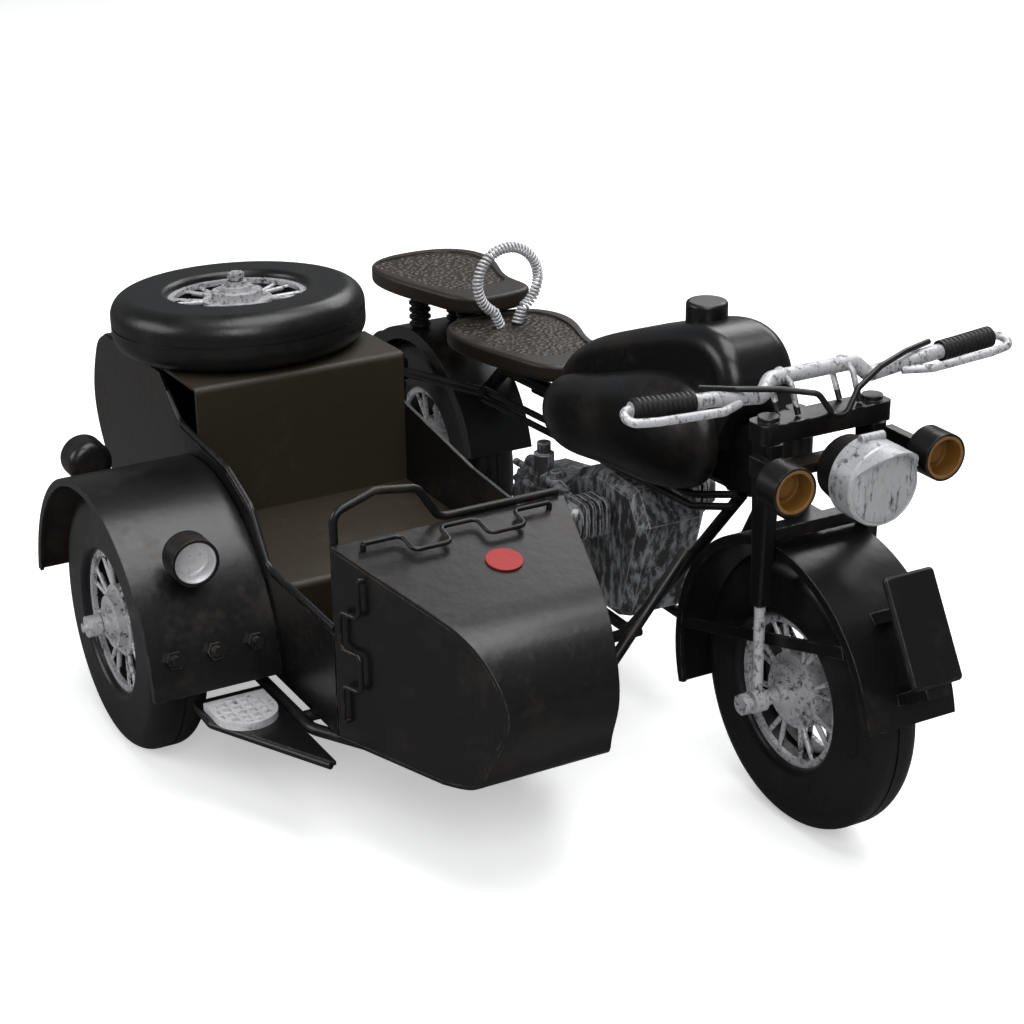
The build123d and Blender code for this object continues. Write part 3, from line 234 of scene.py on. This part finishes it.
# inside of the rim, left black: its radius and half its width
barrel_radius, barrel_half, barrel_black = 0.0204, 0.0056, (0.006, 0.006, 0.0065)
for wheel, axis in (("front_wheel", (0, 1, 0)), ("rear_wheel", (0, 1, 0)), ("sidecar_wheel", (0, 1, 0)),
                    ("spare_wheel", (-sin(deck_tilt), 0, cos(deck_tilt)))):
    wheel_low, wheel_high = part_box(wheel)
    material = silver_material(wheel + "_silver", wheel_scale, wheel_cover, even, wheel_bright)
    tree = material.node_tree
    shader = tree.nodes["Principled BSDF"]
    centred = tree.nodes.new("ShaderNodeVectorMath")
    centred.operation = "SUBTRACT"
    tree.links.new(object_point(tree), centred.inputs[0])
    centred.inputs[1].default_value = (wheel_low + wheel_high) / 2
    along = tree.nodes.new("ShaderNodeVectorMath")
    along.operation = "DOT_PRODUCT"
    tree.links.new(centred.outputs[0], along.inputs[0])
    along.inputs[1].default_value = axis
    span = tree.nodes.new("ShaderNodeVectorMath")
    span.operation = "LENGTH"
    tree.links.new(centred.outputs[0], span.inputs[0])
    inward = add_math(tree, "LESS_THAN", add_math(tree, "ABSOLUTE", along.outputs["Value"]), barrel_half)
    far_out = add_math(tree, "GREATER_THAN", span.outputs["Value"], barrel_radius)
    barrel = add_math(tree, "MULTIPLY", inward, far_out)
    coat = shader.inputs["Base Color"].links[0].from_socket
    metal = shader.inputs["Metallic"].links[0].from_socket
    elsewhere = add_math(tree, "SUBTRACT", 1.0, barrel)
    tree.links.new(add_mix(tree, barrel, coat, barrel_black), shader.inputs["Base Color"])
    tree.links.new(add_math(tree, "MULTIPLY", metal, elsewhere), shader.inputs["Metallic"])
    paint(material, wheel)

# ---- Black sheet metal ---------------------------------------------------------------------------
# Tinplate and wire, soldered and sprayed semi-gloss black. Handling has rubbed the black thin in
# places, so a brownish undercoat shows through, most of all along the edges.
edge_group, given, result = new_group(
    "edge_wear", [("Radius", "f", 0.0006), ("Break scale", "f", 230.0), ("Keep", "f", 0.5)],
    [("Mask", "f"), ("Normal", "v")],
)
rounded = edge_group.nodes.new("ShaderNodeBevel")
rounded.samples = 4
edge_group.links.new(given.outputs["Radius"], rounded.inputs["Radius"])
alike = edge_group.nodes.new("ShaderNodeVectorMath")
alike.operation = "DOT_PRODUCT"
edge_group.links.new(rounded.outputs["Normal"], alike.inputs[0])
edge_group.links.new(edge_group.nodes.new("ShaderNodeNewGeometry").outputs["Normal"], alike.inputs[1])
flat_limit, edge_gain, break_gain = 0.985, 7.0, 8.0
bent = add_math(edge_group, "SUBTRACT", flat_limit, alike.outputs["Value"])
turned = add_math(edge_group, "MULTIPLY", bent, edge_gain, clamp=True)
broken = edge_group.nodes.new("ShaderNodeTexNoise")
broken.inputs["Detail"].default_value = 5.0
edge_group.links.new(object_point(edge_group), broken.inputs["Vector"])
edge_group.links.new(given.outputs["Break scale"], broken.inputs["Scale"])
gone = add_math(edge_group, "SUBTRACT", broken.outputs["Fac"], given.outputs["Keep"])
patchy = add_math(edge_group, "MULTIPLY", gone, break_gain, clamp=True)
edge_group.links.new(add_math(edge_group, "MULTIPLY", turned, patchy), result.inputs["Mask"])
edge_group.links.new(rounded.outputs["Normal"], result.inputs["Normal"])

paint_group, given, result = new_group(
    "rubbed_paint",
    [("Rub", "f", 0.5), ("Scale", "f", 30.0), ("Paint", "c", (0.008, 0.008, 0.0085, 1.0)),
     ("Under", "c", (0.05, 0.032, 0.02, 1.0)), ("Gloss", "f", 0.24)],
    [("Color", "c"), ("Roughness", "f"), ("Height", "f")],
)
place = object_point(paint_group)
clouds = paint_group.nodes.new("ShaderNodeTexNoise")
clouds.inputs["Detail"].default_value = 7.0
clouds.inputs["Roughness"].default_value = 0.62
paint_group.links.new(place, clouds.inputs["Vector"])
paint_group.links.new(given.outputs["Scale"], clouds.inputs["Scale"])
fine = add_noise(paint_group, 420.0, 4.0, place)
worn = add_math(paint_group, "ADD", add_math(paint_group, "MULTIPLY", clouds.outputs["Fac"], 0.8),
                add_math(paint_group, "MULTIPLY", fine, 0.2))
shift = add_math(paint_group, "SUBTRACT", given.outputs["Rub"], 0.5)
rubbed = add_ramp(paint_group, add_math(paint_group, "ADD", worn, shift), [(0.52, 0.0), (0.78, 1.0)])
soft = add_math(paint_group, "MULTIPLY", rubbed, 0.75)
thinned = add_mix(paint_group, soft, given.outputs["Paint"], given.outputs["Under"])
duller = add_math(paint_group, "ADD", add_math(paint_group, "MULTIPLY", fine, 0.10),
                  add_math(paint_group, "MULTIPLY", rubbed, 0.22))
peel = add_noise(paint_group, 260.0, 2.0, place)
grainy = add_math(paint_group, "ADD", peel, add_math(paint_group, "MULTIPLY", fine, 0.35))
paint_group.links.new(thinned, result.inputs["Color"])
dullness = add_math(paint_group, "ADD", given.outputs["Gloss"], duller)
paint_group.links.new(dullness, result.inputs["Roughness"])
paint_group.links.new(grainy, result.inputs["Height"])


def paint_material(name, rub=0.5, scale=30.0, colour=(0.0042, 0.0042, 0.0045), under=(0.032, 0.019, 0.011),
                   gloss=0.25, bump=0.00006, edge=(0.075, 0.055, 0.042), edge_radius=0.0005, keep=0.47):
    """Sprayed paint: more rub shows more undercoat, and a lower keep wears more of the edges."""
    material, tree, shader = new_material(name)
    coat = add_group(tree, paint_group, Rub=rub, Scale=scale, Paint=colour, Under=under, Gloss=gloss)
    wear = add_group(tree, edge_group, Radius=edge_radius, Keep=keep)
    colour_seen = add_mix(tree, wear.outputs["Mask"], coat.outputs["Color"], edge)
    surface = add_bump(tree, coat.outputs["Height"], bump, wear.outputs["Normal"])
    tree.links.new(colour_seen, shader.inputs["Base Color"])
    dulled = add_math(tree, "MULTIPLY", wear.outputs["Mask"], 0.15)
    tree.links.new(add_math(tree, "ADD", coat.outputs["Roughness"], dulled), shader.inputs["Roughness"])
    tree.links.new(surface, shader.inputs["Normal"])
    shader.inputs["Specular IOR Level"].default_value = 0.42
    return material


black_paint = paint_material("black_paint")
black_wire = paint_material("black_wire", rub=0.52, scale=90.0, gloss=0.3, edge_radius=0.0003)
paint(black_paint, "tub_shell", "tub_side_right", "tub_side_left", "nose_cowl", "nose_side_right",
      "nose_side_left", "sidecar_fender", "fender_lamps", "step_bracket", "head_tube", "plungers",
      "rear_fender", "tail_lamp", "tank_body", "tank_pod_right", "tank_pod_left", "tank_cap",
      "turn_lamps", "headlamp_bucket",
      "front_fender", "number_plate", "fender_bolts")
paint(black_wire, "grab_rail", "lashing_rails", "sidecar_frame", "down_tubes", "frame_rails", "cables",
      "saddle_springs")

# ---- Backrest and bench --------------------------------------------------------------------------
# Bent sheet, sprayed satin olive brown, soldered inside the tub.
olive_paint = paint_material("olive_paint", rub=0.46, scale=60.0, colour=(0.0185, 0.0135, 0.0062),
                             under=(0.028, 0.021, 0.010), gloss=0.5, edge=(0.05, 0.04, 0.026))
paint(olive_paint, "seat_back", "bench_seat")

# ---- Saddles -------------------------------------------------------------------------------------
# Pressed saddles with a plain rim and a pebbled inset, painted dark brown.
inset_drop, inset_margin = 0.0008, 0.0003   # the inset lies below the rim, give or take
for saddle in ("front_saddle", "rear_saddle"):
    saddle_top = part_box(saddle)[1].z
    saddle_brown, tree, shader = new_material(saddle + "_brown")
    place = object_point(tree)
    part = tree.nodes.new("ShaderNodeSeparateXYZ")
    tree.links.new(place, part.inputs[0])
    below = add_math(tree, "LESS_THAN", part.outputs["Z"], saddle_top - inset_margin)
    above = add_math(tree, "GREATER_THAN", part.outputs["Z"], saddle_top - inset_drop - inset_margin)
    facing = tree.nodes.new("ShaderNodeSeparateXYZ")
    tree.links.new(tree.nodes.new("ShaderNodeNewGeometry").outputs["Normal"], facing.inputs[0])
    upward = add_math(tree, "GREATER_THAN", facing.outputs["Z"], 0.97)
    inset = add_math(tree, "MULTIPLY", add_math(tree, "MULTIPLY", below, above), upward)
    cells = tree.nodes.new("ShaderNodeTexVoronoi")
    cells.inputs["Scale"].default_value = 480.0
    tree.links.new(place, cells.inputs["Vector"])
    domes = add_ramp(tree, cells.outputs["Distance"], [(0.05, 1.0), (0.62, 0.0)])
    pebble = add_math(tree, "MULTIPLY", domes, inset)
    cloudy = add_noise(tree, 70.0, 5.0, place)
    rim_brown = add_mix(tree, cloudy, (0.012, 0.0085, 0.006), (0.022, 0.016, 0.011))
    # The tops of the pebble domes in the inset are painted a lighter brown, in cloudy patches: a painted
    # highlight.
    streaks_and_pebble_highlight = add_mix(tree, add_math(tree, "MULTIPLY", cloudy, pebble), rim_brown, (0.085, 0.065, 0.048))
    wear = add_group(tree, edge_group, Radius=0.0008, Keep=0.42)
    faint_wear = add_math(tree, "MULTIPLY", wear.outputs["Mask"], 0.6)
    tree.links.new(add_mix(tree, faint_wear, streaks_and_pebble_highlight, (0.06, 0.045, 0.034)), shader.inputs["Base Color"])
    tree.links.new(add_ramp(tree, pebble, [(0.1, 0.42), (0.9, 0.36)]), shader.inputs["Roughness"])
    tree.links.new(add_bump(tree, pebble, 0.0006, wear.outputs["Normal"]), shader.inputs["Normal"])
    shader.inputs["Specular IOR Level"].default_value = 0.42
    paint(saddle_brown, saddle)

# ---- Grab handle ---------------------------------------------------------------------------------
# One long coil of steel wire, bent up into a ring and brushed silver. Both its ends are fixed to the
# inset of the front saddle.
coil_tree = bpy.data.node_groups.new("wound_coil", "GeometryNodeTree")
coil_steps = 14
for label, kind in (("Geometry", "Geometry"), ("Coil radius", "Float"), ("Wire radius", "Float"),
                    ("Pitch", "Float"), ("Finish", "Material")):
    coil_tree.interface.new_socket(name=label, in_out="INPUT", socket_type="NodeSocket" + kind)
coil_tree.interface.new_socket(name="Geometry", in_out="OUTPUT", socket_type="NodeSocketGeometry")
given = coil_tree.nodes.new("NodeGroupInput")
result = coil_tree.nodes.new("NodeGroupOutput")
line = coil_tree.nodes.new("GeometryNodeMeshToCurve")
coil_tree.links.new(given.outputs["Geometry"], line.inputs["Mesh"])
steps = coil_tree.nodes.new("GeometryNodeResampleCurve")
steps.mode = "LENGTH"
coil_tree.links.new(line.outputs["Curve"], steps.inputs["Curve"])
step_length = add_math(coil_tree, "DIVIDE", given.outputs["Pitch"], float(coil_steps))
coil_tree.links.new(step_length, steps.inputs["Length"])
spun = coil_tree.nodes.new("ShaderNodeVectorRotate")
spun.rotation_type = "AXIS_ANGLE"
coil_tree.links.new(coil_tree.nodes.new("GeometryNodeInputNormal").outputs["Normal"], spun.inputs["Vector"])
coil_tree.links.new(coil_tree.nodes.new("GeometryNodeInputTangent").outputs["Tangent"], spun.inputs["Axis"])
count = coil_tree.nodes.new("GeometryNodeInputIndex").outputs["Index"]
coil_tree.links.new(add_math(coil_tree, "MULTIPLY", count, 2 * pi / coil_steps), spun.inputs["Angle"])
outward = coil_tree.nodes.new("ShaderNodeVectorMath")
outward.operation = "SCALE"
coil_tree.links.new(spun.outputs["Vector"], outward.inputs[0])
coil_tree.links.new(given.outputs["Coil radius"], outward.inputs["Scale"])
moved = coil_tree.nodes.new("GeometryNodeSetPosition")
coil_tree.links.new(steps.outputs["Curve"], moved.inputs["Geometry"])
coil_tree.links.new(outward.outputs[0], moved.inputs["Offset"])
section = coil_tree.nodes.new("GeometryNodeCurvePrimitiveCircle")
section.inputs["Resolution"].default_value = 8
coil_tree.links.new(given.outputs["Wire radius"], section.inputs["Radius"])
wire = coil_tree.nodes.new("GeometryNodeCurveToMesh")
wire.inputs["Fill Caps"].default_value = True
coil_tree.links.new(moved.outputs["Geometry"], wire.inputs["Curve"])
coil_tree.links.new(section.outputs["Curve"], wire.inputs["Profile Curve"])
real = coil_tree.nodes.new("GeometryNodeRealizeInstances")
coil_tree.links.new(wire.outputs["Mesh"], real.inputs["Geometry"])
finish = coil_tree.nodes.new("GeometryNodeSetMaterial")
coil_tree.links.new(real.outputs["Geometry"], finish.inputs["Geometry"])
coil_tree.links.new(given.outputs["Finish"], finish.inputs["Material"])
coil_tree.links.new(finish.outputs["Geometry"], result.inputs["Geometry"])

coil_silver = silver_material("coil_silver", 420.0, 0.66, even, bright=(0.6, 0.6, 0.62))
coil_radius, wire_radius, coil_pitch = 0.00155, 0.0005, 0.00135
coil_reach, foot_half = 0.0021, 0.0032      # coil's outside radius, and half the gap of the two ends
grab_low, grab_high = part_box("grab_spring")
foot_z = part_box("front_saddle")[1].z - inset_drop
ring_radius = (grab_high.y - grab_low.y) / 2 - coil_reach
ring_x, ring_y = (grab_low.x + grab_high.x) / 2, (grab_low.y + grab_high.y) / 2
ring_z = grab_high.z - coil_reach - ring_radius
turns = [radians(turn) for turn in range(242, -63, -8)]
loop = [(ring_x, ring_y - foot_half, foot_z)]
loop += [(ring_x, ring_y + ring_radius * cos(turn), ring_z + ring_radius * sin(turn)) for turn in turns]
loop.append((ring_x, ring_y + foot_half, foot_z))
coil_mesh = bpy.data.meshes.new("grab_coil_line")
coil_mesh.from_pydata(loop, [(point, point + 1) for point in range(len(loop) - 1)], [])
grab_coil = bpy.data.objects.new("grab_coil", coil_mesh)
scene.collection.objects.link(grab_coil)
modifier = grab_coil.modifiers.new("coil", "NODES")
modifier.node_group = coil_tree
values = {"Coil radius": coil_radius, "Wire radius": wire_radius, "Pitch": coil_pitch, "Finish": coil_silver}
for item in coil_tree.interface.items_tree:
    if item.in_out == "INPUT" and item.name in values:
        modifier[item.identifier] = values[item.name]
wound_mesh = bpy.data.meshes.new_from_object(grab_coil.evaluated_get(bpy.context.evaluated_depsgraph_get()))
grab_coil.modifiers.remove(modifier)
grab_coil.data = wound_mesh
wound_mesh.shade_smooth()
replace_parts(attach(grab_coil, "chassis"), "grab_spring")

# ---- Silver pieces of the engine and the fork ----------------------------------------------------
# Black castings brushed with silver, so that ridges are bright and streaks of black show between. The
# step pad, the fork legs, the handlebar and the headlamp's rim and lens have a fuller coat.
def brushed_edges(material, radius, keep, bright):
    """The brush leaves most silver on the edges of a silver material's piece."""
    tree = material.node_tree
    shader = tree.nodes["Principled BSDF"]
    wear = add_group(tree, edge_group, Radius=radius, Keep=keep)
    coat = shader.inputs["Base Color"].links[0].from_socket
    bump = shader.inputs["Normal"].links[0].from_node
    tree.links.new(add_mix(tree, wear.outputs["Mask"], coat, bright), shader.inputs["Base Color"])
    tree.links.new(wear.outputs["Normal"], bump.inputs["Normal"])


engine_silver = silver_material("engine_silver", 420.0, 0.475, (1.0, 1.0, 0.3), bright=(0.40, 0.41, 0.43))
brushed_edges(engine_silver, 0.0007, 0.36, (0.6, 0.6, 0.62))
fork_look = (620.0, 0.555, (1.0, 1.0, 0.6), (0.58, 0.58, 0.6))
fork_silver = silver_material("fork_silver", *fork_look)
bar_silver = silver_material("bar_silver", *fork_look)
# the handlebar's risers stay black up to a ragged brush line
brush_line, brush_ragged, riser_black = 0.1387, 0.003, (0.005, 0.005, 0.0055)
tree = bar_silver.node_tree
shader = tree.nodes["Principled BSDF"]
heights = tree.nodes.new("ShaderNodeSeparateXYZ")
place = object_point(tree)
tree.links.new(place, heights.inputs[0])
ragged = add_math(tree, "MULTIPLY", add_noise(tree, 400.0, 3.0, place), brush_ragged)
low_part = add_math(tree, "LESS_THAN", add_math(tree, "ADD", heights.outputs["Z"], ragged), brush_line)
coat = shader.inputs["Base Color"].links[0].from_socket
tree.links.new(add_mix(tree, low_part, coat, riser_black), shader.inputs["Base Color"])
lamp_silver = silver_material("lamp_silver", 700.0, 0.57, (0.5, 1.0, 0.25), bright=(0.48, 0.49, 0.51),
                              bump=0.0001)
brushed_edges(lamp_silver, 0.0006, 0.4, (0.62, 0.62, 0.64))
pad_silver = silver_material("pad_silver", 300.0, 0.6, even, bright=(0.66, 0.66, 0.68))
crown_black = paint_material("crown_black", scale=60.0, edge=(0.4, 0.4, 0.42), edge_radius=0.0007, keep=0.5)
paint(engine_silver, "engine_block", "cylinders", "carburettors")
paint(fork_silver, "levers", "fork_legs")
paint(bar_silver, "handlebar")
paint(pad_silver, "step_pad")
paint(lamp_silver, "headlamp_rim", "headlamp_lens")
paint(crown_black, "fork_crown", "fork_covers")

# ---- Grips ---------------------------------------------------------------------------------------
# Ribbed black sleeves pushed over the bar.
grip_black = paint_material("grip_black", rub=0.36, scale=120.0, gloss=0.42, edge=(0.02, 0.018, 0.017))
paint(grip_black, "grips")

# ---- Lamp liners and badge -----------------------------------------------------------------------
# The turn lamps are painted amber inside, and the badge is a disc of red paint.
amber_paint = paint_material("amber_paint", scale=160.0, colour=(0.15, 0.068, 0.012),
                             under=(0.06, 0.026, 0.006), gloss=0.34, bump=0.0001, edge=(0.3, 0.16, 0.05))
paint(amber_paint, "turn_lenses")
red_paint = paint_material("red_paint", rub=0.36, scale=120.0, colour=(0.27, 0.003, 0.002),
                           under=(0.12, 0.003, 0.002), gloss=0.45, edge=(0.3, 0.01, 0.008))
paint(red_paint, "badge_disc")

# ---- Mudguard lamp bowls -------------------------------------------------------------------------
# The mudguard lamps are open black cups. A pressed bowl lines each, brushed silver, and is held by
# its close fit.
bowl_silver = silver_material("bowl_silver", 500.0, 0.62, even, bright=(0.6, 0.6, 0.62))
lamps_low, lamps_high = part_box("fender_lamps")
bowl_sides, mouth_drop = 32, 0.0002
# depth behind the mouth and radius, from the bowl's floor out over the lip to its back
bowl_profile = ((0.0055, 0.0053), (0.0048, 0.0065), (0.0, 0.0065), (0.0, 0.00665), (0.0058, 0.00665))
guard_z, lamp_reach, lamp_turn = 0.035, 0.066, radians(46.0)
middle_y, middle_z = (lamps_low.y + lamps_high.y) / 2, guard_z + lamp_reach * sin(lamp_turn)
for end, side in (("front", 1), ("rear", -1)):
    mouth_x = lamps_high.x - mouth_drop if side > 0 else lamps_low.x + mouth_drop
    points, faces = [], []
    for depth, radius in bowl_profile:
        for spoke in range(bowl_sides):
            turn = 2 * pi * spoke / bowl_sides
            points.append((mouth_x - side * depth, middle_y + radius * cos(turn),
                           middle_z + radius * sin(turn)))
    for ring in range(len(bowl_profile) - 1):
        for spoke in range(bowl_sides):
            a, b = ring * bowl_sides + spoke, ring * bowl_sides + (spoke + 1) % bowl_sides
            face = (a, b, b + bowl_sides, a + bowl_sides)
            faces.append(face if side < 0 else face[::-1])
    last = (len(bowl_profile) - 1) * bowl_sides
    floor_face, back_face = tuple(range(bowl_sides)), tuple(range(last, last + bowl_sides))
    faces += [floor_face, back_face[::-1]] if side > 0 else [floor_face[::-1], back_face]
    mesh = bpy.data.meshes.new("lamp_bowl_" + end)
    mesh.from_pydata(points, [], faces)
    mesh.materials.append(bowl_silver)
    mesh.shade_smooth()
    bowl = bpy.data.objects.new("lamp_bowl_" + end, mesh)
    scene.collection.objects.link(bowl)
    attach(bowl, "chassis")

# ---- Floor, light and camera ---------------------------------------------------------------------
# Plain pale floor under a white backdrop, a large soft light over each side, and the camera in front
# on the right. Only the camera sees the full white: the gloss of the black paint meets a dim room.
floor_mesh = bpy.data.meshes.new("floor")
reach = 6.0
corners = [(-reach, -reach, 0), (reach, -reach, 0), (reach, reach, 0), (-reach, reach, 0)]
floor_mesh.from_pydata(corners, [], [(0, 1, 2, 3)])
floor = bpy.data.objects.new("floor", floor_mesh)
scene.collection.objects.link(floor)
floor_paint, tree, shader = new_material("floor_paint")
shader.inputs["Roughness"].default_value = 0.8
shader.inputs["Specular IOR Level"].default_value = 0.1
mirrored = tree.nodes.new("ShaderNodeLightPath").outputs["Is Glossy Ray"]
tree.links.new(add_mix(tree, mirrored, (0.9, 0.9, 0.9), (0.12, 0.12, 0.12)), shader.inputs["Base Color"])
shader.inputs["Emission Color"].default_value = (1.0, 1.0, 1.0, 1.0)
looked_at = tree.nodes.new("ShaderNodeLightPath").outputs["Is Camera Ray"]
tree.links.new(add_math(tree, "MULTIPLY", looked_at, 0.42), shader.inputs["Emission Strength"])
floor_mesh.materials.append(floor_paint)

world = bpy.data.worlds.new("studio")
scene.world = world
world.use_nodes = True
sky = world.node_tree
sky.nodes.clear()
seen_sky, lit_sky = sky.nodes.new("ShaderNodeBackground"), sky.nodes.new("ShaderNodeBackground")
seen_sky.inputs["Color"].default_value = (1.0, 1.0, 1.0, 1.0)
seen_sky.inputs["Strength"].default_value = 1.0
lit_sky.inputs["Color"].default_value = (0.92, 0.96, 1.0, 1.0)
lit_sky.inputs["Strength"].default_value = 0.16
either = sky.nodes.new("ShaderNodeMixShader")
sky_out = sky.nodes.new("ShaderNodeOutputWorld")
sky.links.new(sky.nodes.new("ShaderNodeLightPath").outputs["Is Camera Ray"], either.inputs[0])
sky.links.new(lit_sky.outputs[0], either.inputs[1])
sky.links.new(seen_sky.outputs[0], either.inputs[2])
sky.links.new(either.outputs[0], sky_out.inputs[0])


def softbox(name, place, aim, size, power):
    """Square area light at a place, facing an aim point."""
    data = bpy.data.lights.new(name, "AREA")
    data.shape = "RECTANGLE"
    data.size, data.size_y = size
    data.energy = power
    lamp = bpy.data.objects.new(name, data)
    lamp.location = place
    lamp.rotation_mode = "QUATERNION"
    lamp.rotation_quaternion = (Vector(aim) - Vector(place)).to_track_quat("-Z", "Y")
    scene.collection.objects.link(lamp)


softbox("top_light", (0.15, 0.15, 1.4), (0.0, 0.0, 0.05), (1.3, 0.9), 20.0)
softbox("key_light", (1.1, -0.5, 0.9), (0.0, 0.0, 0.06), (0.7, 0.7), 9.0)
softbox("side_light", (-0.5, -1.3, 0.7), (0.0, 0.0, 0.06), (1.0, 0.6), 8.0)
softbox("back_light", (-0.7, 1.1, 1.0), (0.0, 0.0, 0.08), (1.2, 0.6), 9.0)

axle_low, axle_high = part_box("front_axle")
front_foot = Vector(((axle_low.x + axle_high.x) / 2, (axle_low.y + axle_high.y) / 2, 0.0))
camera_turn, camera_pitch, camera_roll = radians(61.22), radians(22.62), radians(-0.66)
right = Vector((cos(camera_turn), sin(camera_turn), 0.0))
level = cos(camera_pitch)
ahead = Vector((-sin(camera_turn) * level, cos(camera_turn) * level, -sin(camera_pitch)))
up = right.cross(ahead)
right_rolled = right * cos(camera_roll) + up * sin(camera_roll)
up_rolled = up * cos(camera_roll) - right * sin(camera_roll)
camera_data = bpy.data.cameras.new("camera")
camera_data.sensor_width = 36.0
camera_data.lens = 77.34
camera = bpy.data.objects.new("camera", camera_data)
camera_from_foot = Vector((0.483, -0.368, 0.353))
camera_axes = Matrix((right_rolled, up_rolled, -ahead)).transposed().to_4x4()
camera.matrix_world = Matrix.Translation(front_foot + camera_from_foot) @ camera_axes
scene.collection.objects.link(camera)
scene.camera = camera
scene.view_settings.view_transform = "Standard"
